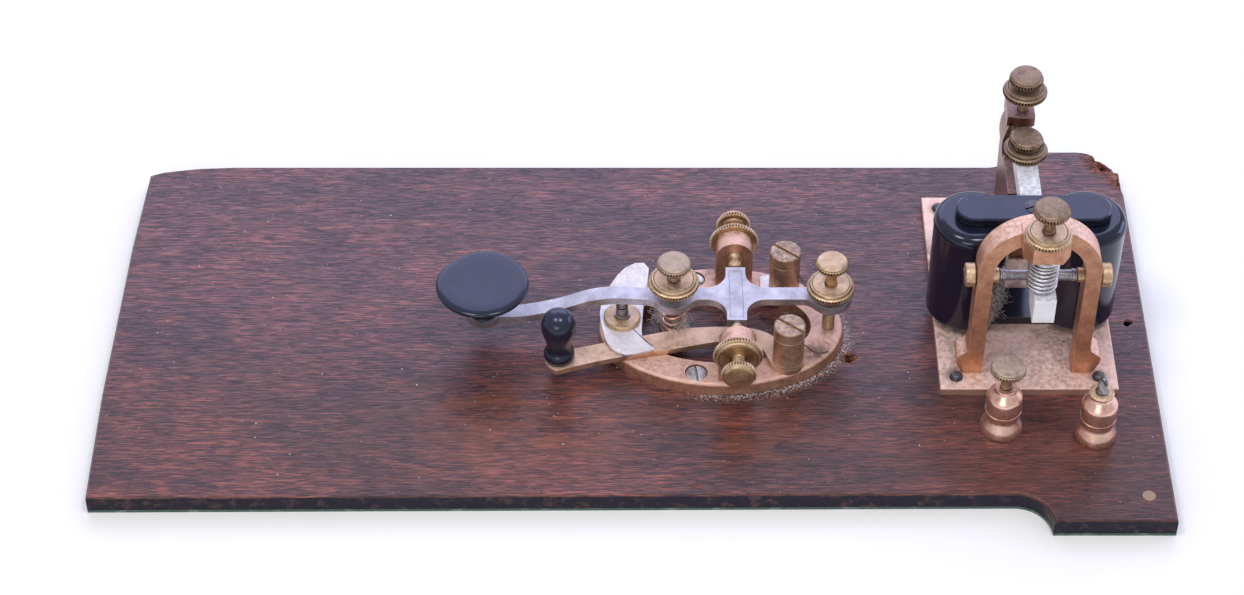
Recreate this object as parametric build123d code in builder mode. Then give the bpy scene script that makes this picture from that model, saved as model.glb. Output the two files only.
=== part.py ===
from build123d import *
import os

os.makedirs("parts", exist_ok=True)

# A telegraph learner's outfit: a hand key and an electromagnet sounder on one wooden board.
# Millimetres. X runs along the board, Y away from the operator, Z up.
# The origin is the middle of the board's footprint, on the underside of the felt.

ON_SEAT = (Align.CENTER, Align.CENTER, Align.MIN)
UNDER_SEAT = (Align.CENTER, Align.CENTER, Align.MAX)

# ------------------------------------------------------------------ driving dimensions
felt_thickness = 1.2
board_thickness = 6.5
board_top = felt_thickness + board_thickness
board_right = 186.5
board_far = 92.5
board_body_far = 84.0
board_body_near = -80.4
shoulder_radius = 12.4
edge_wear = 0.7

turning_gap = 0.05                      # radial gap wherever one piece turns in another
fit_gap = 0.03                          # radial gap round a fixed screw or pin
rim_chamfer = 0.4                       # on the rims of turned heads and nuts

key_x = 32.8                            # middle of the oval key base
key_y = -5.0                            # centre line of the key lever
ring_half_length = 43.8
ring_half_width = 29.2
ring_opening_half_length = 32.2
ring_opening_half_width = 18.4
ring_thickness = 5.2

pivot_x = 37.8                          # key lever's pivot
pivot_z = 19.3
post_inner = 20.35                      # trunnion posts, measured sideways from key_y
post_outer = 27.3
post_width = 13.2
lever_top = 21.4
lever_thickness = 3.0
lever_half_width = 3.0
cross_half_width = 3.5
cross_reach = 13.1
gap_screw_x = 71.2
tension_screw_x = 15.5
anvil_x = -2.7
knob_x = -52.2
knob_radius = 16.5

arm_thickness = 2.15
arm_bottom = ring_thickness + turning_gap
arm_top = arm_bottom + arm_thickness
handle_x = -25.0
handle_y = -22.8
terminal_x = 56.0
terminal_near_y = -24.0
terminal_far_y = 14.0
terminal_radius = 5.5

sounder_x = 140.6                       # middle of the pivot arch and of the two coils
sounder_lever_x = 141.4                 # centre line of the sounder lever
plate_left = 109.6
plate_right = 172.5
plate_near = -34.3
plate_far = 63.7
plate_thickness = 3.2
arch_near = -26.5
arch_depth = 8.3
arbor_y = arch_near + arch_depth / 2
arbor_z = 48.2
coil_y = 5.0
coil_spacing = 40.0
shell_radius = 13.7
heel_top = 6.7
cap_bottom = 46.8
cap_top = 50.6
pole_top = 50.8
bar_top = 51.4                          # upper face of the sounder lever
bar_bottom = 45.4
bar_half_width = 3.8
armature_thickness = 3.0
down_stop_y = 36.5
up_stop_y = 52.0
anvil_top = 40.0                        # face that the down stop strikes
stop_gap = 1.03
spring_y = -31.0

post_left = (129.7, -49.4)
post_right = (162.3, -52.9)
post_bore_height = 11.7                 # wire hole above the board
post_bore_radius = 1.5


def above_board(x, y, height=0.0):
    """Level plane at a place on the board, a given height above its upper face."""
    return Plane((x, y, board_top + height))


def side_view(x, y, height=0.0):
    """Upright plane seen from the operator's side: local x is X and local y is Z."""
    return Plane((x, y, board_top + height), x_dir=(1, 0, 0), z_dir=(0, -1, 0))


def end_view(x):
    """Upright plane seen along the board: local x is Y and local y is Z."""
    return Plane((x, 0, board_top), x_dir=(0, 1, 0), z_dir=(1, 0, 0))


def upright(x, y):
    """Vertical axis through a place on the board."""
    return Axis((x, y, 0), (0, 0, 1))


def across(x, y, height, toward):
    """Plane at a place above the board whose normal is the given level direction."""
    return Plane((x, y, board_top + height), x_dir=(0, 0, 1), z_dir=toward)


def finger_screw(seat, shank_radius, shank_down, neck_up, head_radius, head_height=3.0, tip_bore=0.0):
    """Turned screw: shank below the seat plane, neck above it, and a round finger head."""
    collar_radius = shank_radius + 1.3
    collar_height = 0.9
    tip_bore_depth = 1.8
    with BuildPart(seat) as screw:
        with Locations((0, 0, -shank_down)):
            Cylinder(shank_radius, shank_down + neck_up, align=ON_SEAT)
        with Locations((0, 0, neck_up)):
            Cylinder(head_radius, head_height, align=ON_SEAT)
            Cylinder(collar_radius, collar_height, align=UNDER_SEAT)
        head_edges = screw.edges().filter_by(GeomType.CIRCLE).filter_by(
            lambda edge: edge.radius > head_radius - 0.01)
        chamfer(head_edges, rim_chamfer)
        if tip_bore:
            with Locations((0, 0, -shank_down)):
                Cylinder(tip_bore, tip_bore_depth, align=ON_SEAT, mode=Mode.SUBTRACT)
    return screw


def finger_nut(seat, bore_radius, radius, height):
    """Round locknut with a plain rim and a raised ring on its upper face."""
    ring_height = 0.5
    ring_inset = 1.5
    with BuildPart(seat) as nut:
        Cylinder(radius, height - ring_height, align=ON_SEAT)
        Cylinder(radius - ring_inset, height, align=ON_SEAT)
        Cylinder(bore_radius, height, align=ON_SEAT, mode=Mode.SUBTRACT)
        rim_edges = nut.edges().filter_by(GeomType.CIRCLE).filter_by(
            lambda edge: edge.radius > radius - 0.01)
        chamfer(rim_edges, rim_chamfer)
    return nut


# ------------------------------------------------------------------ board and felt
with BuildSketch() as board_outline:
    with BuildLine():
        Polyline((-163.8, 83.3), (-150, board_body_far), (136.0, board_body_far))
        far_cove = CenterArc((136.0, board_body_far + shoulder_radius), shoulder_radius, -90, 71)
        Polyline(far_cove @ 1, (150.0, board_far), (171.0, board_far))
        ThreePointArc((171.0, board_far), (181.7, 87.9), (board_right, 77.0))
        Polyline((board_right, 77.0), (board_right, -board_far), (144.4, -board_far))
        ThreePointArc((144.4, -board_far), (140.7, -83.9), (132.0, board_body_near))
        Line((132.0, board_body_near), (-board_right, -82.2))
        Polyline((-board_right, -82.2), (-board_right, -34.0), (-184.2, 41.0), (-181.8, 79.4))
        Polyline((-181.8, 79.4), (-176.6, 81.3), (-163.8, 83.3))
    make_face()

wire_hole = (78.1, -16.3)
corner_hole = (180.7, 85.9)
side_hole = (179.9, 1.1)
plug_hole = (177.7, -81.3)
plate_screw_places = [(115.5, -28.5), (166.0, -28.5), (115.5, 57.5), (166.0, 57.5)]
key_screw_places = [(23.5, -28.2), (23.5, 18.2)]
plate_screw_radius = 1.6
key_screw_radius = 1.8
stud_radius = 1.5
plug_radius = 2.3
lead_hole_radius = 1.3
stud_nut_pocket = 4.6
stud_nut_pocket_depth = 3.0
pilot_depth = 5.0                       # wood screw holes under the key and the sounder plate

with BuildPart() as baseboard:
    with BuildSketch(Plane.XY.offset(felt_thickness)):
        add(board_outline.sketch)
    extrude(amount=board_thickness)
    top_rim = baseboard.faces().sort_by(Axis.Z)[-1].outer_wire().edges()
    chamfer(top_rim, edge_wear)
    with Locations(above_board(*wire_hole), above_board(*corner_hole), above_board(*side_hole)):
        Hole(lead_hole_radius)
    with Locations(above_board(*plug_hole)):
        Hole(plug_radius)
    with Locations(*[above_board(*place) for place in plate_screw_places]):
        Hole(plate_screw_radius + fit_gap, depth=pilot_depth)
    with Locations(*[above_board(*place) for place in key_screw_places]):
        Hole(key_screw_radius + fit_gap, depth=pilot_depth)
    with Locations(above_board(*post_left), above_board(*post_right)):
        Hole(stud_radius + fit_gap)
    with Locations(above_board(*post_left, -board_thickness), above_board(*post_right, -board_thickness)):
        Cylinder(stud_nut_pocket, stud_nut_pocket_depth, align=ON_SEAT, mode=Mode.SUBTRACT)
baseboard.part.label = "baseboard"
export_step(baseboard.part, "parts/baseboard.step")

with BuildPart() as felt_pad:
    with BuildSketch():
        add(board_outline.sketch)
    extrude(amount=felt_thickness)
felt_pad.part.label = "felt_pad"
export_step(felt_pad.part, "parts/felt_pad.step")

with BuildPart() as hole_plug:
    with Locations(above_board(*plug_hole, 0.2)):
        Cylinder(plug_radius - fit_gap, board_thickness, align=UNDER_SEAT)
hole_plug.part.label = "hole_plug"
export_step(hole_plug.part, "parts/hole_plug.step")

# ------------------------------------------------------------------ key base
tongue_half_width = 4.4
tongue_top = 4.5
anvil_hole_radius = 3.6
terminal_stud_radius = 2.4
trunnion_radius = 2.6
countersink_radius = 4.0
countersink_depth = 1.6
ring_rim_radius = 1.2
screw_slot_width = 0.9

with BuildPart() as key_base:
    with BuildSketch(above_board(key_x, key_y)):
        Ellipse(ring_half_length, ring_half_width)
        Ellipse(ring_opening_half_length, ring_opening_half_width, mode=Mode.SUBTRACT)
    extrude(amount=ring_thickness)
    ring_rim = key_base.faces().sort_by(Axis.Z)[-1].outer_wire().edges()
    fillet(ring_rim, ring_rim_radius)
    with BuildSketch(above_board(tension_screw_x, key_y)):
        Circle(tongue_half_width)
        with Locations((0, ring_opening_half_width / 2)):
            Rectangle(2 * tongue_half_width, ring_opening_half_width)
    extrude(amount=tongue_top)
    for side in (-1, 1):
        with BuildSketch(side_view(pivot_x, key_y + side * (post_inner + post_outer) / 2)):
            with Locations((0, pivot_z / 2)):
                Rectangle(post_width, pivot_z)
            with Locations((0, pivot_z)):
                Circle(post_width / 2)
                Circle(trunnion_radius + turning_gap, mode=Mode.SUBTRACT)
        extrude(amount=(post_outer - post_inner) / 2, both=True)
    with Locations(above_board(anvil_x, key_y)):
        Cylinder(anvil_hole_radius, ring_thickness, align=ON_SEAT, mode=Mode.SUBTRACT)
    for terminal_y in (terminal_near_y, terminal_far_y):
        with Locations(above_board(terminal_x, terminal_y)):
            Cylinder(terminal_stud_radius + fit_gap, ring_thickness, align=ON_SEAT, mode=Mode.SUBTRACT)
    for place in key_screw_places:
        with Locations(above_board(*place, ring_thickness)):
            Cylinder(key_screw_radius + fit_gap, ring_thickness, align=UNDER_SEAT, mode=Mode.SUBTRACT)
            Cylinder(countersink_radius + fit_gap, countersink_depth, align=UNDER_SEAT, mode=Mode.SUBTRACT)
key_base.part.label = "key_base"
export_step(key_base.part, "parts/key_base.step")

with BuildPart() as key_base_screws:
    for slot_angle, place in zip((20, -35), key_screw_places):
        with Locations(above_board(*place, ring_thickness - 0.05)):
            Cylinder(countersink_radius, countersink_depth - 0.05, align=UNDER_SEAT)
            Cylinder(key_screw_radius, ring_thickness + 4.0, align=UNDER_SEAT)
        with Locations(above_board(*place, ring_thickness) * Rot(0, 0, slot_angle)):
            Box(10, screw_slot_width, 1.3, mode=Mode.SUBTRACT)
key_base_screws.part.label = "key_base_screws"
export_step(key_base_screws.part, "parts/key_base_screws.step")

# ------------------------------------------------------------------ key lever and knob
journal_radius = 1.3
journal_reach = 15.7
boss_radius = 7.8
boss_reach = (boss_radius ** 2 - lever_half_width ** 2) ** 0.5
boss_fillet = 4.5
cross_fillet = 7.0
end_boss_radius = 6.0
adjuster_radius = 2.2
contact_pin_radius = 1.6
knob_stud_radius = 1.7
knob_seat = 12.5
knob_top = 27.0
knob_thickness = 2.6

with BuildPart() as key_lever:
    with BuildSketch(above_board(pivot_x, key_y)) as lever_plan:
        Rectangle(2 * cross_half_width, 2 * cross_reach)
        with Locations(((knob_x + gap_screw_x) / 2 - pivot_x, 0)):
            Rectangle(gap_screw_x - knob_x, 2 * lever_half_width)
        inner_corners = [
            corner for corner in lever_plan.vertices()
            if abs(corner.X) < cross_half_width + 0.1 and abs(corner.Y) < lever_half_width + 0.1
        ]
        fillet(inner_corners, cross_fillet)
        with Locations((tension_screw_x - pivot_x, 0), (gap_screw_x - pivot_x, 0)):
            Circle(boss_radius)
        boss_corners = [
            corner for corner in lever_plan.vertices()
            if abs(abs(corner.Y) - lever_half_width) < 0.01
            and min(abs(abs(corner.X + pivot_x - boss_x) - boss_reach)
                    for boss_x in (tension_screw_x, gap_screw_x)) < 0.1
        ]
        fillet(boss_corners, boss_fillet)
        with Locations((knob_x - pivot_x, 0)):
            Circle(end_boss_radius)
    extrude(amount=lever_top + 2)
    with BuildSketch(side_view(0, key_y)):
        with BuildLine():
            Spline((4, lever_top), (-4, lever_top + 0.6), (-14, 20.6), (-24.8, 16.3), (-35.5, 13.3),
                   (-45.5, knob_seat), tangents=[(-1, 0.1), (-1, 0)])
            Polyline((-45.5, knob_seat), (knob_x - 8, knob_seat),
                     (knob_x - 8, knob_seat - lever_thickness), (knob_x, knob_seat - lever_thickness))
            Spline((knob_x, knob_seat - lever_thickness), (-38, 10.0), (-24.8, 13.2), (-14, 17.5),
                   (-4, 19.0), (4, lever_top - lever_thickness), tangents=[(1, 0), (1, -0.1)])
            Polyline((4, lever_top - lever_thickness), (82, lever_top - lever_thickness),
                     (82, lever_top), (4, lever_top))
        make_face()
    extrude(amount=20, both=True, mode=Mode.INTERSECT)
    for side in (-1, 1):
        with Locations(across(pivot_x, key_y + side * cross_reach, pivot_z, (0, side, 0))):
            Cylinder(journal_radius, journal_reach - cross_reach, align=ON_SEAT)
    with Locations(above_board(tension_screw_x, key_y), above_board(gap_screw_x, key_y)):
        Cylinder(adjuster_radius + turning_gap, 30, align=ON_SEAT, mode=Mode.SUBTRACT)
    with Locations(above_board(anvil_x, key_y)):
        Cylinder(contact_pin_radius + fit_gap, 20.5, align=ON_SEAT, mode=Mode.SUBTRACT)
    with Locations(above_board(knob_x, key_y)):
        Cylinder(knob_stud_radius + fit_gap, 20, align=ON_SEAT, mode=Mode.SUBTRACT)
key_lever.part.label = "key_lever"
export_step(key_lever.part, "parts/key_lever.step")

knob_height = knob_top - knob_seat
knob_underside = knob_height - knob_thickness
knob_screw_head_radius = 3.4
knob_screw_head_height = 1.6

with BuildPart() as key_knob:
    with BuildSketch(side_view(knob_x, key_y, knob_seat)):
        with BuildLine():
            Line((0, 0), (5.2, 0))
            Spline((5.2, 0), (4.4, 4.5), (6.0, 9.0), (11.0, knob_underside),
                   tangents=[(-0.3, 1), (1, 0.3)])
            Line((11.0, knob_underside), (knob_radius - 1.0, knob_underside + 0.6))
            ThreePointArc((knob_radius - 1.0, knob_underside + 0.6), (knob_radius, knob_height - 1.0),
                          (knob_radius - 1.0, knob_height))
            Line((knob_radius - 1.0, knob_height), (0, knob_height))
            Line((0, knob_height), (0, 0))
        make_face()
    revolve(axis=upright(knob_x, key_y))
    with Locations(above_board(knob_x, key_y, knob_seat)):
        Cylinder(knob_stud_radius + fit_gap, 8.0, align=ON_SEAT, mode=Mode.SUBTRACT)
key_knob.part.label = "key_knob"
export_step(key_knob.part, "parts/key_knob.step")

with BuildPart() as knob_screw:
    with Locations(above_board(knob_x, key_y, knob_seat - lever_thickness)):
        Cylinder(knob_screw_head_radius, knob_screw_head_height, align=UNDER_SEAT)
        Cylinder(knob_stud_radius, lever_thickness + 7.5, align=ON_SEAT)
    with Locations(above_board(knob_x, key_y, knob_seat - lever_thickness - knob_screw_head_height)):
        Box(8, screw_slot_width, 1.4, mode=Mode.SUBTRACT)
knob_screw.part.label = "knob_screw"
export_step(knob_screw.part, "parts/knob_screw.step")

# ------------------------------------------------------------------ key adjusters and trunnions
gap_head_bottom = 34.9
gap_screw = finger_screw(
    above_board(gap_screw_x, key_y, lever_top), adjuster_radius,
    shank_down=lever_top - ring_thickness - 0.02, neck_up=gap_head_bottom - lever_top,
    head_radius=5.9, head_height=2.8)
gap_screw.part.label = "gap_screw"
export_step(gap_screw.part, "parts/gap_screw.step")

gap_locknut = finger_nut(
    above_board(gap_screw_x, key_y, lever_top + 2.1), adjuster_radius + turning_gap,
    radius=8.6, height=3.3)
gap_locknut.part.label = "gap_locknut"
export_step(gap_locknut.part, "parts/gap_locknut.step")

tension_tip = 10.0
tension_head_bottom = 34.8
key_tension_screw = finger_screw(
    above_board(tension_screw_x, key_y, lever_top), adjuster_radius,
    shank_down=lever_top - tension_tip, neck_up=tension_head_bottom - lever_top,
    head_radius=6.2, head_height=2.6)
key_tension_screw.part.label = "key_tension_screw"
export_step(key_tension_screw.part, "parts/key_tension_screw.step")

key_tension_locknut = finger_nut(
    above_board(tension_screw_x, key_y, lever_top + 4.7), adjuster_radius + turning_gap,
    radius=9.1, height=3.0)
key_tension_locknut.part.label = "key_tension_locknut"
export_step(key_tension_locknut.part, "parts/key_tension_locknut.step")

key_spring_radius = 3.5
key_spring_wire = 0.55
key_spring_turns = 5
key_spring_bottom = tongue_top + key_spring_wire + 0.05
key_spring_height = lever_top - lever_thickness - key_spring_wire - 0.05 - key_spring_bottom

with BuildPart() as key_spring:
    with BuildLine(above_board(tension_screw_x, key_y, key_spring_bottom)):
        key_coil = Helix(key_spring_height / key_spring_turns, key_spring_height, key_spring_radius)
    with BuildSketch(Plane(key_coil @ 0, z_dir=key_coil % 0)):
        Circle(key_spring_wire)
    sweep(path=key_coil, is_frenet=True)
key_spring.part.label = "key_spring"
export_step(key_spring.part, "parts/key_spring.step")

trunnion_tip = 14.2                     # measured sideways from key_y, as are the heads
trunnion_head_start = 36.2

for side, side_name in ((-1, "near"), (1, "far")):
    post_face = across(pivot_x, key_y + side * post_outer, pivot_z, (0, side, 0))
    trunnion_screw = finger_screw(
        post_face, trunnion_radius, shank_down=post_outer - trunnion_tip,
        neck_up=trunnion_head_start - post_outer, head_radius=6.15, tip_bore=journal_radius + turning_gap)
    trunnion_screw.part.label = "trunnion_screw_" + side_name
    export_step(trunnion_screw.part, "parts/trunnion_screw_" + side_name + ".step")
    trunnion_locknut = finger_nut(
        post_face.offset(turning_gap), trunnion_radius + turning_gap, radius=8.8, height=3.0)
    trunnion_locknut.part.label = "trunnion_locknut_" + side_name
    export_step(trunnion_locknut.part, "parts/trunnion_locknut_" + side_name + ".step")

# ------------------------------------------------------------------ key contacts
insulator_top = 7.6
clip_thickness = 1.0
anvil_disc_top = 10.4
contact_top = 15.0
contact_gap = 0.8
anvil_stud_radius = 2.2
anvil_disc_radius = 6.6
insulator_radius = 6.4

with BuildPart() as lever_contact:
    with Locations(above_board(anvil_x, key_y, contact_top + contact_gap)):
        Cylinder(2.2, 2.3, align=ON_SEAT)
        Cylinder(contact_pin_radius, 4.6, align=ON_SEAT)
lever_contact.part.label = "lever_contact"
export_step(lever_contact.part, "parts/lever_contact.step")

with BuildPart() as anvil_insulator:
    with Locations(above_board(anvil_x, key_y, 0.3)):
        Cylinder(anvil_hole_radius - fit_gap, insulator_top - 0.3, align=ON_SEAT)
    with Locations(above_board(anvil_x, key_y, ring_thickness)):
        Cylinder(insulator_radius, insulator_top - ring_thickness, align=ON_SEAT)
    with Locations(above_board(anvil_x, key_y, 0)):
        Cylinder(anvil_stud_radius + fit_gap, insulator_top, align=ON_SEAT, mode=Mode.SUBTRACT)
anvil_insulator.part.label = "anvil_insulator"
export_step(anvil_insulator.part, "parts/anvil_insulator.step")

with BuildPart() as closer_clip:
    with BuildSketch(above_board(0, 0, insulator_top)):
        with BuildLine():
            Spline((-1.3, -23.0), (-6.3, -20.0), (-8.8, -14.7), (-9.9, -8.2), (-10.7, -4.0), (-9.6, 3.0),
                   (-6.4, 12.2), (-2.8, 17.5), (2.0, 20.9))
            Spline((2.0, 20.9), (5.6, 20.8), (7.1, 18.0), (6.3, 14.4), (5.2, 4.0), (4.6, -5.0),
                   (4.0, -12.9), (6.2, -17.2), (9.0, -19.9), tangents=[(1, 0.2), (1, -0.5)])
            Line((9.0, -19.9), (-1.3, -23.0))
        make_face()
        with Locations((anvil_x, key_y)):
            Circle(anvil_stud_radius + fit_gap, mode=Mode.SUBTRACT)
    extrude(amount=clip_thickness)
closer_clip.part.label = "closer_clip"
export_step(closer_clip.part, "parts/closer_clip.step")

with BuildPart() as anvil_disc:
    with Locations(above_board(anvil_x, key_y, insulator_top + clip_thickness)):
        Cylinder(anvil_disc_radius, anvil_disc_top - insulator_top - clip_thickness, align=ON_SEAT)
        Cylinder(anvil_stud_radius, insulator_top + clip_thickness - 0.5, align=UNDER_SEAT)
    chamfer(anvil_disc.edges().filter_by(GeomType.CIRCLE).group_by(Axis.Z)[-1], rim_chamfer)
anvil_disc.part.label = "anvil_disc"
export_step(anvil_disc.part, "parts/anvil_disc.step")

with BuildPart() as anvil_contact:
    with Locations(above_board(anvil_x, key_y, anvil_disc_top)):
        Cylinder(2.8, 1.2, align=ON_SEAT)
        Cylinder(2.2, contact_top - anvil_disc_top, align=ON_SEAT)
anvil_contact.part.label = "anvil_contact"
export_step(anvil_contact.part, "parts/anvil_contact.step")

# ------------------------------------------------------------------ circuit closer and key terminals
terminal_near_top = 25.0
terminal_far_top = 24.0
terminal_cap_height = 4.6
rivet_radius = 1.4
rivet_place = (-12.6, -19.6)
spigot_radius = 3.0

with BuildPart() as closer_arm:
    with BuildSketch(above_board(0, 0, arm_bottom)):
        with BuildLine():
            far_side = Spline((handle_x + 3.2, -19.4), (-14.1, -17.2), (5.2, -12.3), (14.4, -9.9),
                              (24.6, -8.3), (33.1, -7.9), (45.7, -9.4), (55.0, -18.4))
            Line((55.0, -18.4), (57.0, -29.3))
            near_side = Spline((57.0, -29.3), (50.2, -26.0), (46.6, -18.2), (41.0, -15.2), (32.6, -15.1),
                               (20.6, -17.7), (-1.4, -22.4), (handle_x - 0.6, -29.6))
            handle_end = ThreePointArc(near_side @ 1, (handle_x - 4.9, handle_y - 1.0), far_side @ 0)
        make_face()
        with Locations((terminal_x, terminal_near_y)):
            Circle(5.6)
        with Locations((terminal_x, terminal_near_y)):
            Circle(spigot_radius + turning_gap, mode=Mode.SUBTRACT)
        with Locations(rivet_place, (handle_x, handle_y)):
            Circle(rivet_radius + fit_gap, mode=Mode.SUBTRACT)
    extrude(amount=arm_thickness)
closer_arm.part.label = "closer_arm"
export_step(closer_arm.part, "parts/closer_arm.step")

with BuildPart() as closer_rivets:
    for place, rivet_length in ((rivet_place, arm_thickness), ((handle_x, handle_y), arm_thickness + 7.5)):
        with Locations(above_board(*place, arm_bottom)):
            Cylinder(rivet_radius, rivet_length, align=ON_SEAT)
closer_rivets.part.label = "closer_rivets"
export_step(closer_rivets.part, "parts/closer_rivets.step")

handle_seat = arm_top
handle_height = 30.0 - handle_seat
dome_radius = 6.15
dome_middle = handle_height - dome_radius

with BuildPart() as closer_handle:
    with BuildSketch(side_view(handle_x, handle_y, handle_seat)):
        with BuildLine():
            Line((0, 0), (4.9, 0))
            ThreePointArc((4.9, 0), (5.5, 2.0), (4.7, 4.4))
            Spline((4.7, 4.4), (4.3, 6.4), (4.7, 9.0), (5.7, 12.6), (dome_radius, dome_middle))
            CenterArc((0, dome_middle), dome_radius, 0, 90)
            Line((0, handle_height), (0, 0))
        make_face()
    revolve(axis=upright(handle_x, handle_y))
    with Locations(above_board(handle_x, handle_y, handle_seat)):
        Cylinder(rivet_radius + fit_gap, 8.0, align=ON_SEAT, mode=Mode.SUBTRACT)
closer_handle.part.label = "closer_handle"
export_step(closer_handle.part, "parts/closer_handle.step")

strap_thickness = 0.8
terminal_near_seat = arm_top + turning_gap
terminal_far_seat = ring_thickness + strap_thickness
terminal_bore_radius = 1.6
cap_slot_width = 1.1
cap_slot_depth = 1.2

with BuildPart() as terminal_near:
    with Locations(above_board(terminal_x, terminal_near_y, terminal_near_seat)):
        body_height = terminal_near_top - terminal_cap_height - terminal_near_seat
        Cylinder(terminal_radius, body_height, align=ON_SEAT)
    with Locations(above_board(terminal_x, terminal_near_y, ring_thickness)):
        Cylinder(spigot_radius, terminal_near_seat - ring_thickness, align=ON_SEAT)
        Cylinder(terminal_stud_radius, ring_thickness - 0.4, align=UNDER_SEAT)
    with Locations(above_board(terminal_x, terminal_near_y, terminal_near_top - terminal_cap_height)):
        Cylinder(terminal_bore_radius + turning_gap, 8.0, align=UNDER_SEAT, mode=Mode.SUBTRACT)
terminal_near.part.label = "terminal_near"
export_step(terminal_near.part, "parts/terminal_near.step")

with BuildPart() as terminal_far:
    with Locations(above_board(terminal_x, terminal_far_y, terminal_far_seat)):
        body_height = terminal_far_top - terminal_cap_height - terminal_far_seat
        Cylinder(terminal_radius, body_height, align=ON_SEAT)
        Cylinder(terminal_stud_radius, terminal_far_seat - 0.4, align=UNDER_SEAT)
    with Locations(above_board(terminal_x, terminal_far_y, terminal_far_top - terminal_cap_height)):
        Cylinder(terminal_bore_radius + turning_gap, 8.0, align=UNDER_SEAT, mode=Mode.SUBTRACT)
terminal_far.part.label = "terminal_far"
export_step(terminal_far.part, "parts/terminal_far.step")

for cap_y, cap_top_height, side_name in (
        (terminal_near_y, terminal_near_top, "near"), (terminal_far_y, terminal_far_top, "far")):
    cap_seat = cap_top_height - terminal_cap_height + 0.1
    with BuildPart() as terminal_screw:
        with Locations(above_board(terminal_x, cap_y, cap_seat)):
            Cylinder(terminal_radius, terminal_cap_height - 0.1, align=ON_SEAT)
            Cylinder(terminal_bore_radius, 7.5, align=UNDER_SEAT)
        chamfer(terminal_screw.edges().filter_by(GeomType.CIRCLE).group_by(Axis.Z)[-1], rim_chamfer)
        with Locations(above_board(terminal_x, cap_y, cap_top_height) * Rot(0, 0, -38)):
            Box(2 * terminal_radius + 1, cap_slot_width, 2 * cap_slot_depth, mode=Mode.SUBTRACT)
    terminal_screw.part.label = "terminal_screw_" + side_name
    export_step(terminal_screw.part, "parts/terminal_screw_" + side_name + ".step")

with BuildPart() as terminal_strap:
    with BuildSketch(above_board(terminal_x, terminal_far_y, ring_thickness)):
        with Locations((-1.5, -0.5)):
            RectangleRounded(14.0, 12.0, 1.5)
        Circle(terminal_stud_radius + fit_gap, mode=Mode.SUBTRACT)
    extrude(amount=strap_thickness)
terminal_strap.part.label = "terminal_strap"
export_step(terminal_strap.part, "parts/terminal_strap.step")

lead_radius = 0.3
lead_seam = terminal_near_top - terminal_cap_height - 6.0
lead_rest = ring_thickness + lead_radius + turning_gap

with BuildPart() as key_lead:
    with BuildLine():
        lead_path = Spline(
            (terminal_x + terminal_radius + 0.4, terminal_near_y + 0.8, board_top + lead_seam),
            (65.2, -21.4, board_top + 9.6), (69.8, -18.6, board_top + lead_rest),
            tangents=[(1, 0.1, -0.4), (1, 0.7, 0)])
    with BuildSketch(Plane(lead_path @ 0, z_dir=lead_path % 0)):
        Circle(lead_radius)
    sweep(path=lead_path)
key_lead.part.label = "key_lead"
export_step(key_lead.part, "parts/key_lead.step")

# ------------------------------------------------------------------ sounder plate and pivot arch
arch_outer_radius = 21.3
arch_inner_radius = 15.8
arch_centre_z = 52.3
leg_outer = 21.3
leg_inner = 15.9
foot_outer = 25.4
foot_tip_z = 10.6
foot_bend_z = 17.0
boss_front = -37.0
boss_bottom = 67.6
boss_top = 74.4
pivot_screw_radius = 2.6
under_screw_radius = 1.6
under_screw_length = 12.0
arch_screw_spread = 19.6
screw_head_radius = 3.2
screw_head_depth = 1.5
coil_places = [(sounder_x - coil_spacing / 2, coil_y), (sounder_x + coil_spacing / 2, coil_y)]
arch_screw_places = [(sounder_x - arch_screw_spread, arbor_y), (sounder_x + arch_screw_spread, arbor_y)]
anvil_screw_places = [(sounder_lever_x, 38.0), (sounder_lever_x, 50.0)]
under_screw_places = arch_screw_places + coil_places + anvil_screw_places

with BuildPart() as sounder_plate:
    with BuildSketch(above_board((plate_left + plate_right) / 2, (plate_near + plate_far) / 2)):
        Rectangle(plate_right - plate_left, plate_far - plate_near)
    extrude(amount=plate_thickness)
    chamfer(sounder_plate.faces().sort_by(Axis.Z)[-1].edges(), 0.3)
    for place in plate_screw_places:
        with Locations(above_board(*place)):
            Cylinder(plate_screw_radius + fit_gap, plate_thickness, align=ON_SEAT, mode=Mode.SUBTRACT)
    for place in under_screw_places:
        with Locations(above_board(*place)):
            Cylinder(under_screw_radius + fit_gap, plate_thickness, align=ON_SEAT, mode=Mode.SUBTRACT)
            Cylinder(screw_head_radius + fit_gap, screw_head_depth + 0.1, align=ON_SEAT, mode=Mode.SUBTRACT)
sounder_plate.part.label = "sounder_plate"
export_step(sounder_plate.part, "parts/sounder_plate.step")

with BuildPart() as under_plate_screws:
    for place in under_screw_places:
        with Locations(above_board(*place, 0.05)):
            Cylinder(screw_head_radius, screw_head_depth, align=ON_SEAT)
            Cylinder(under_screw_radius, under_screw_length, align=ON_SEAT)
under_plate_screws.part.label = "under_plate_screws"
export_step(under_plate_screws.part, "parts/under_plate_screws.step")

with BuildPart() as plate_screws:
    for place in plate_screw_places:
        with Locations(above_board(*place, plate_thickness)):
            Cylinder(2.4, 1.5, align=ON_SEAT)
            Cylinder(plate_screw_radius, plate_thickness + 4.8, align=UNDER_SEAT)
    fillet(plate_screws.edges().filter_by(GeomType.CIRCLE).group_by(Axis.Z)[-1], 0.9)
plate_screws.part.label = "plate_screws"
export_step(plate_screws.part, "parts/plate_screws.step")

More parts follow.
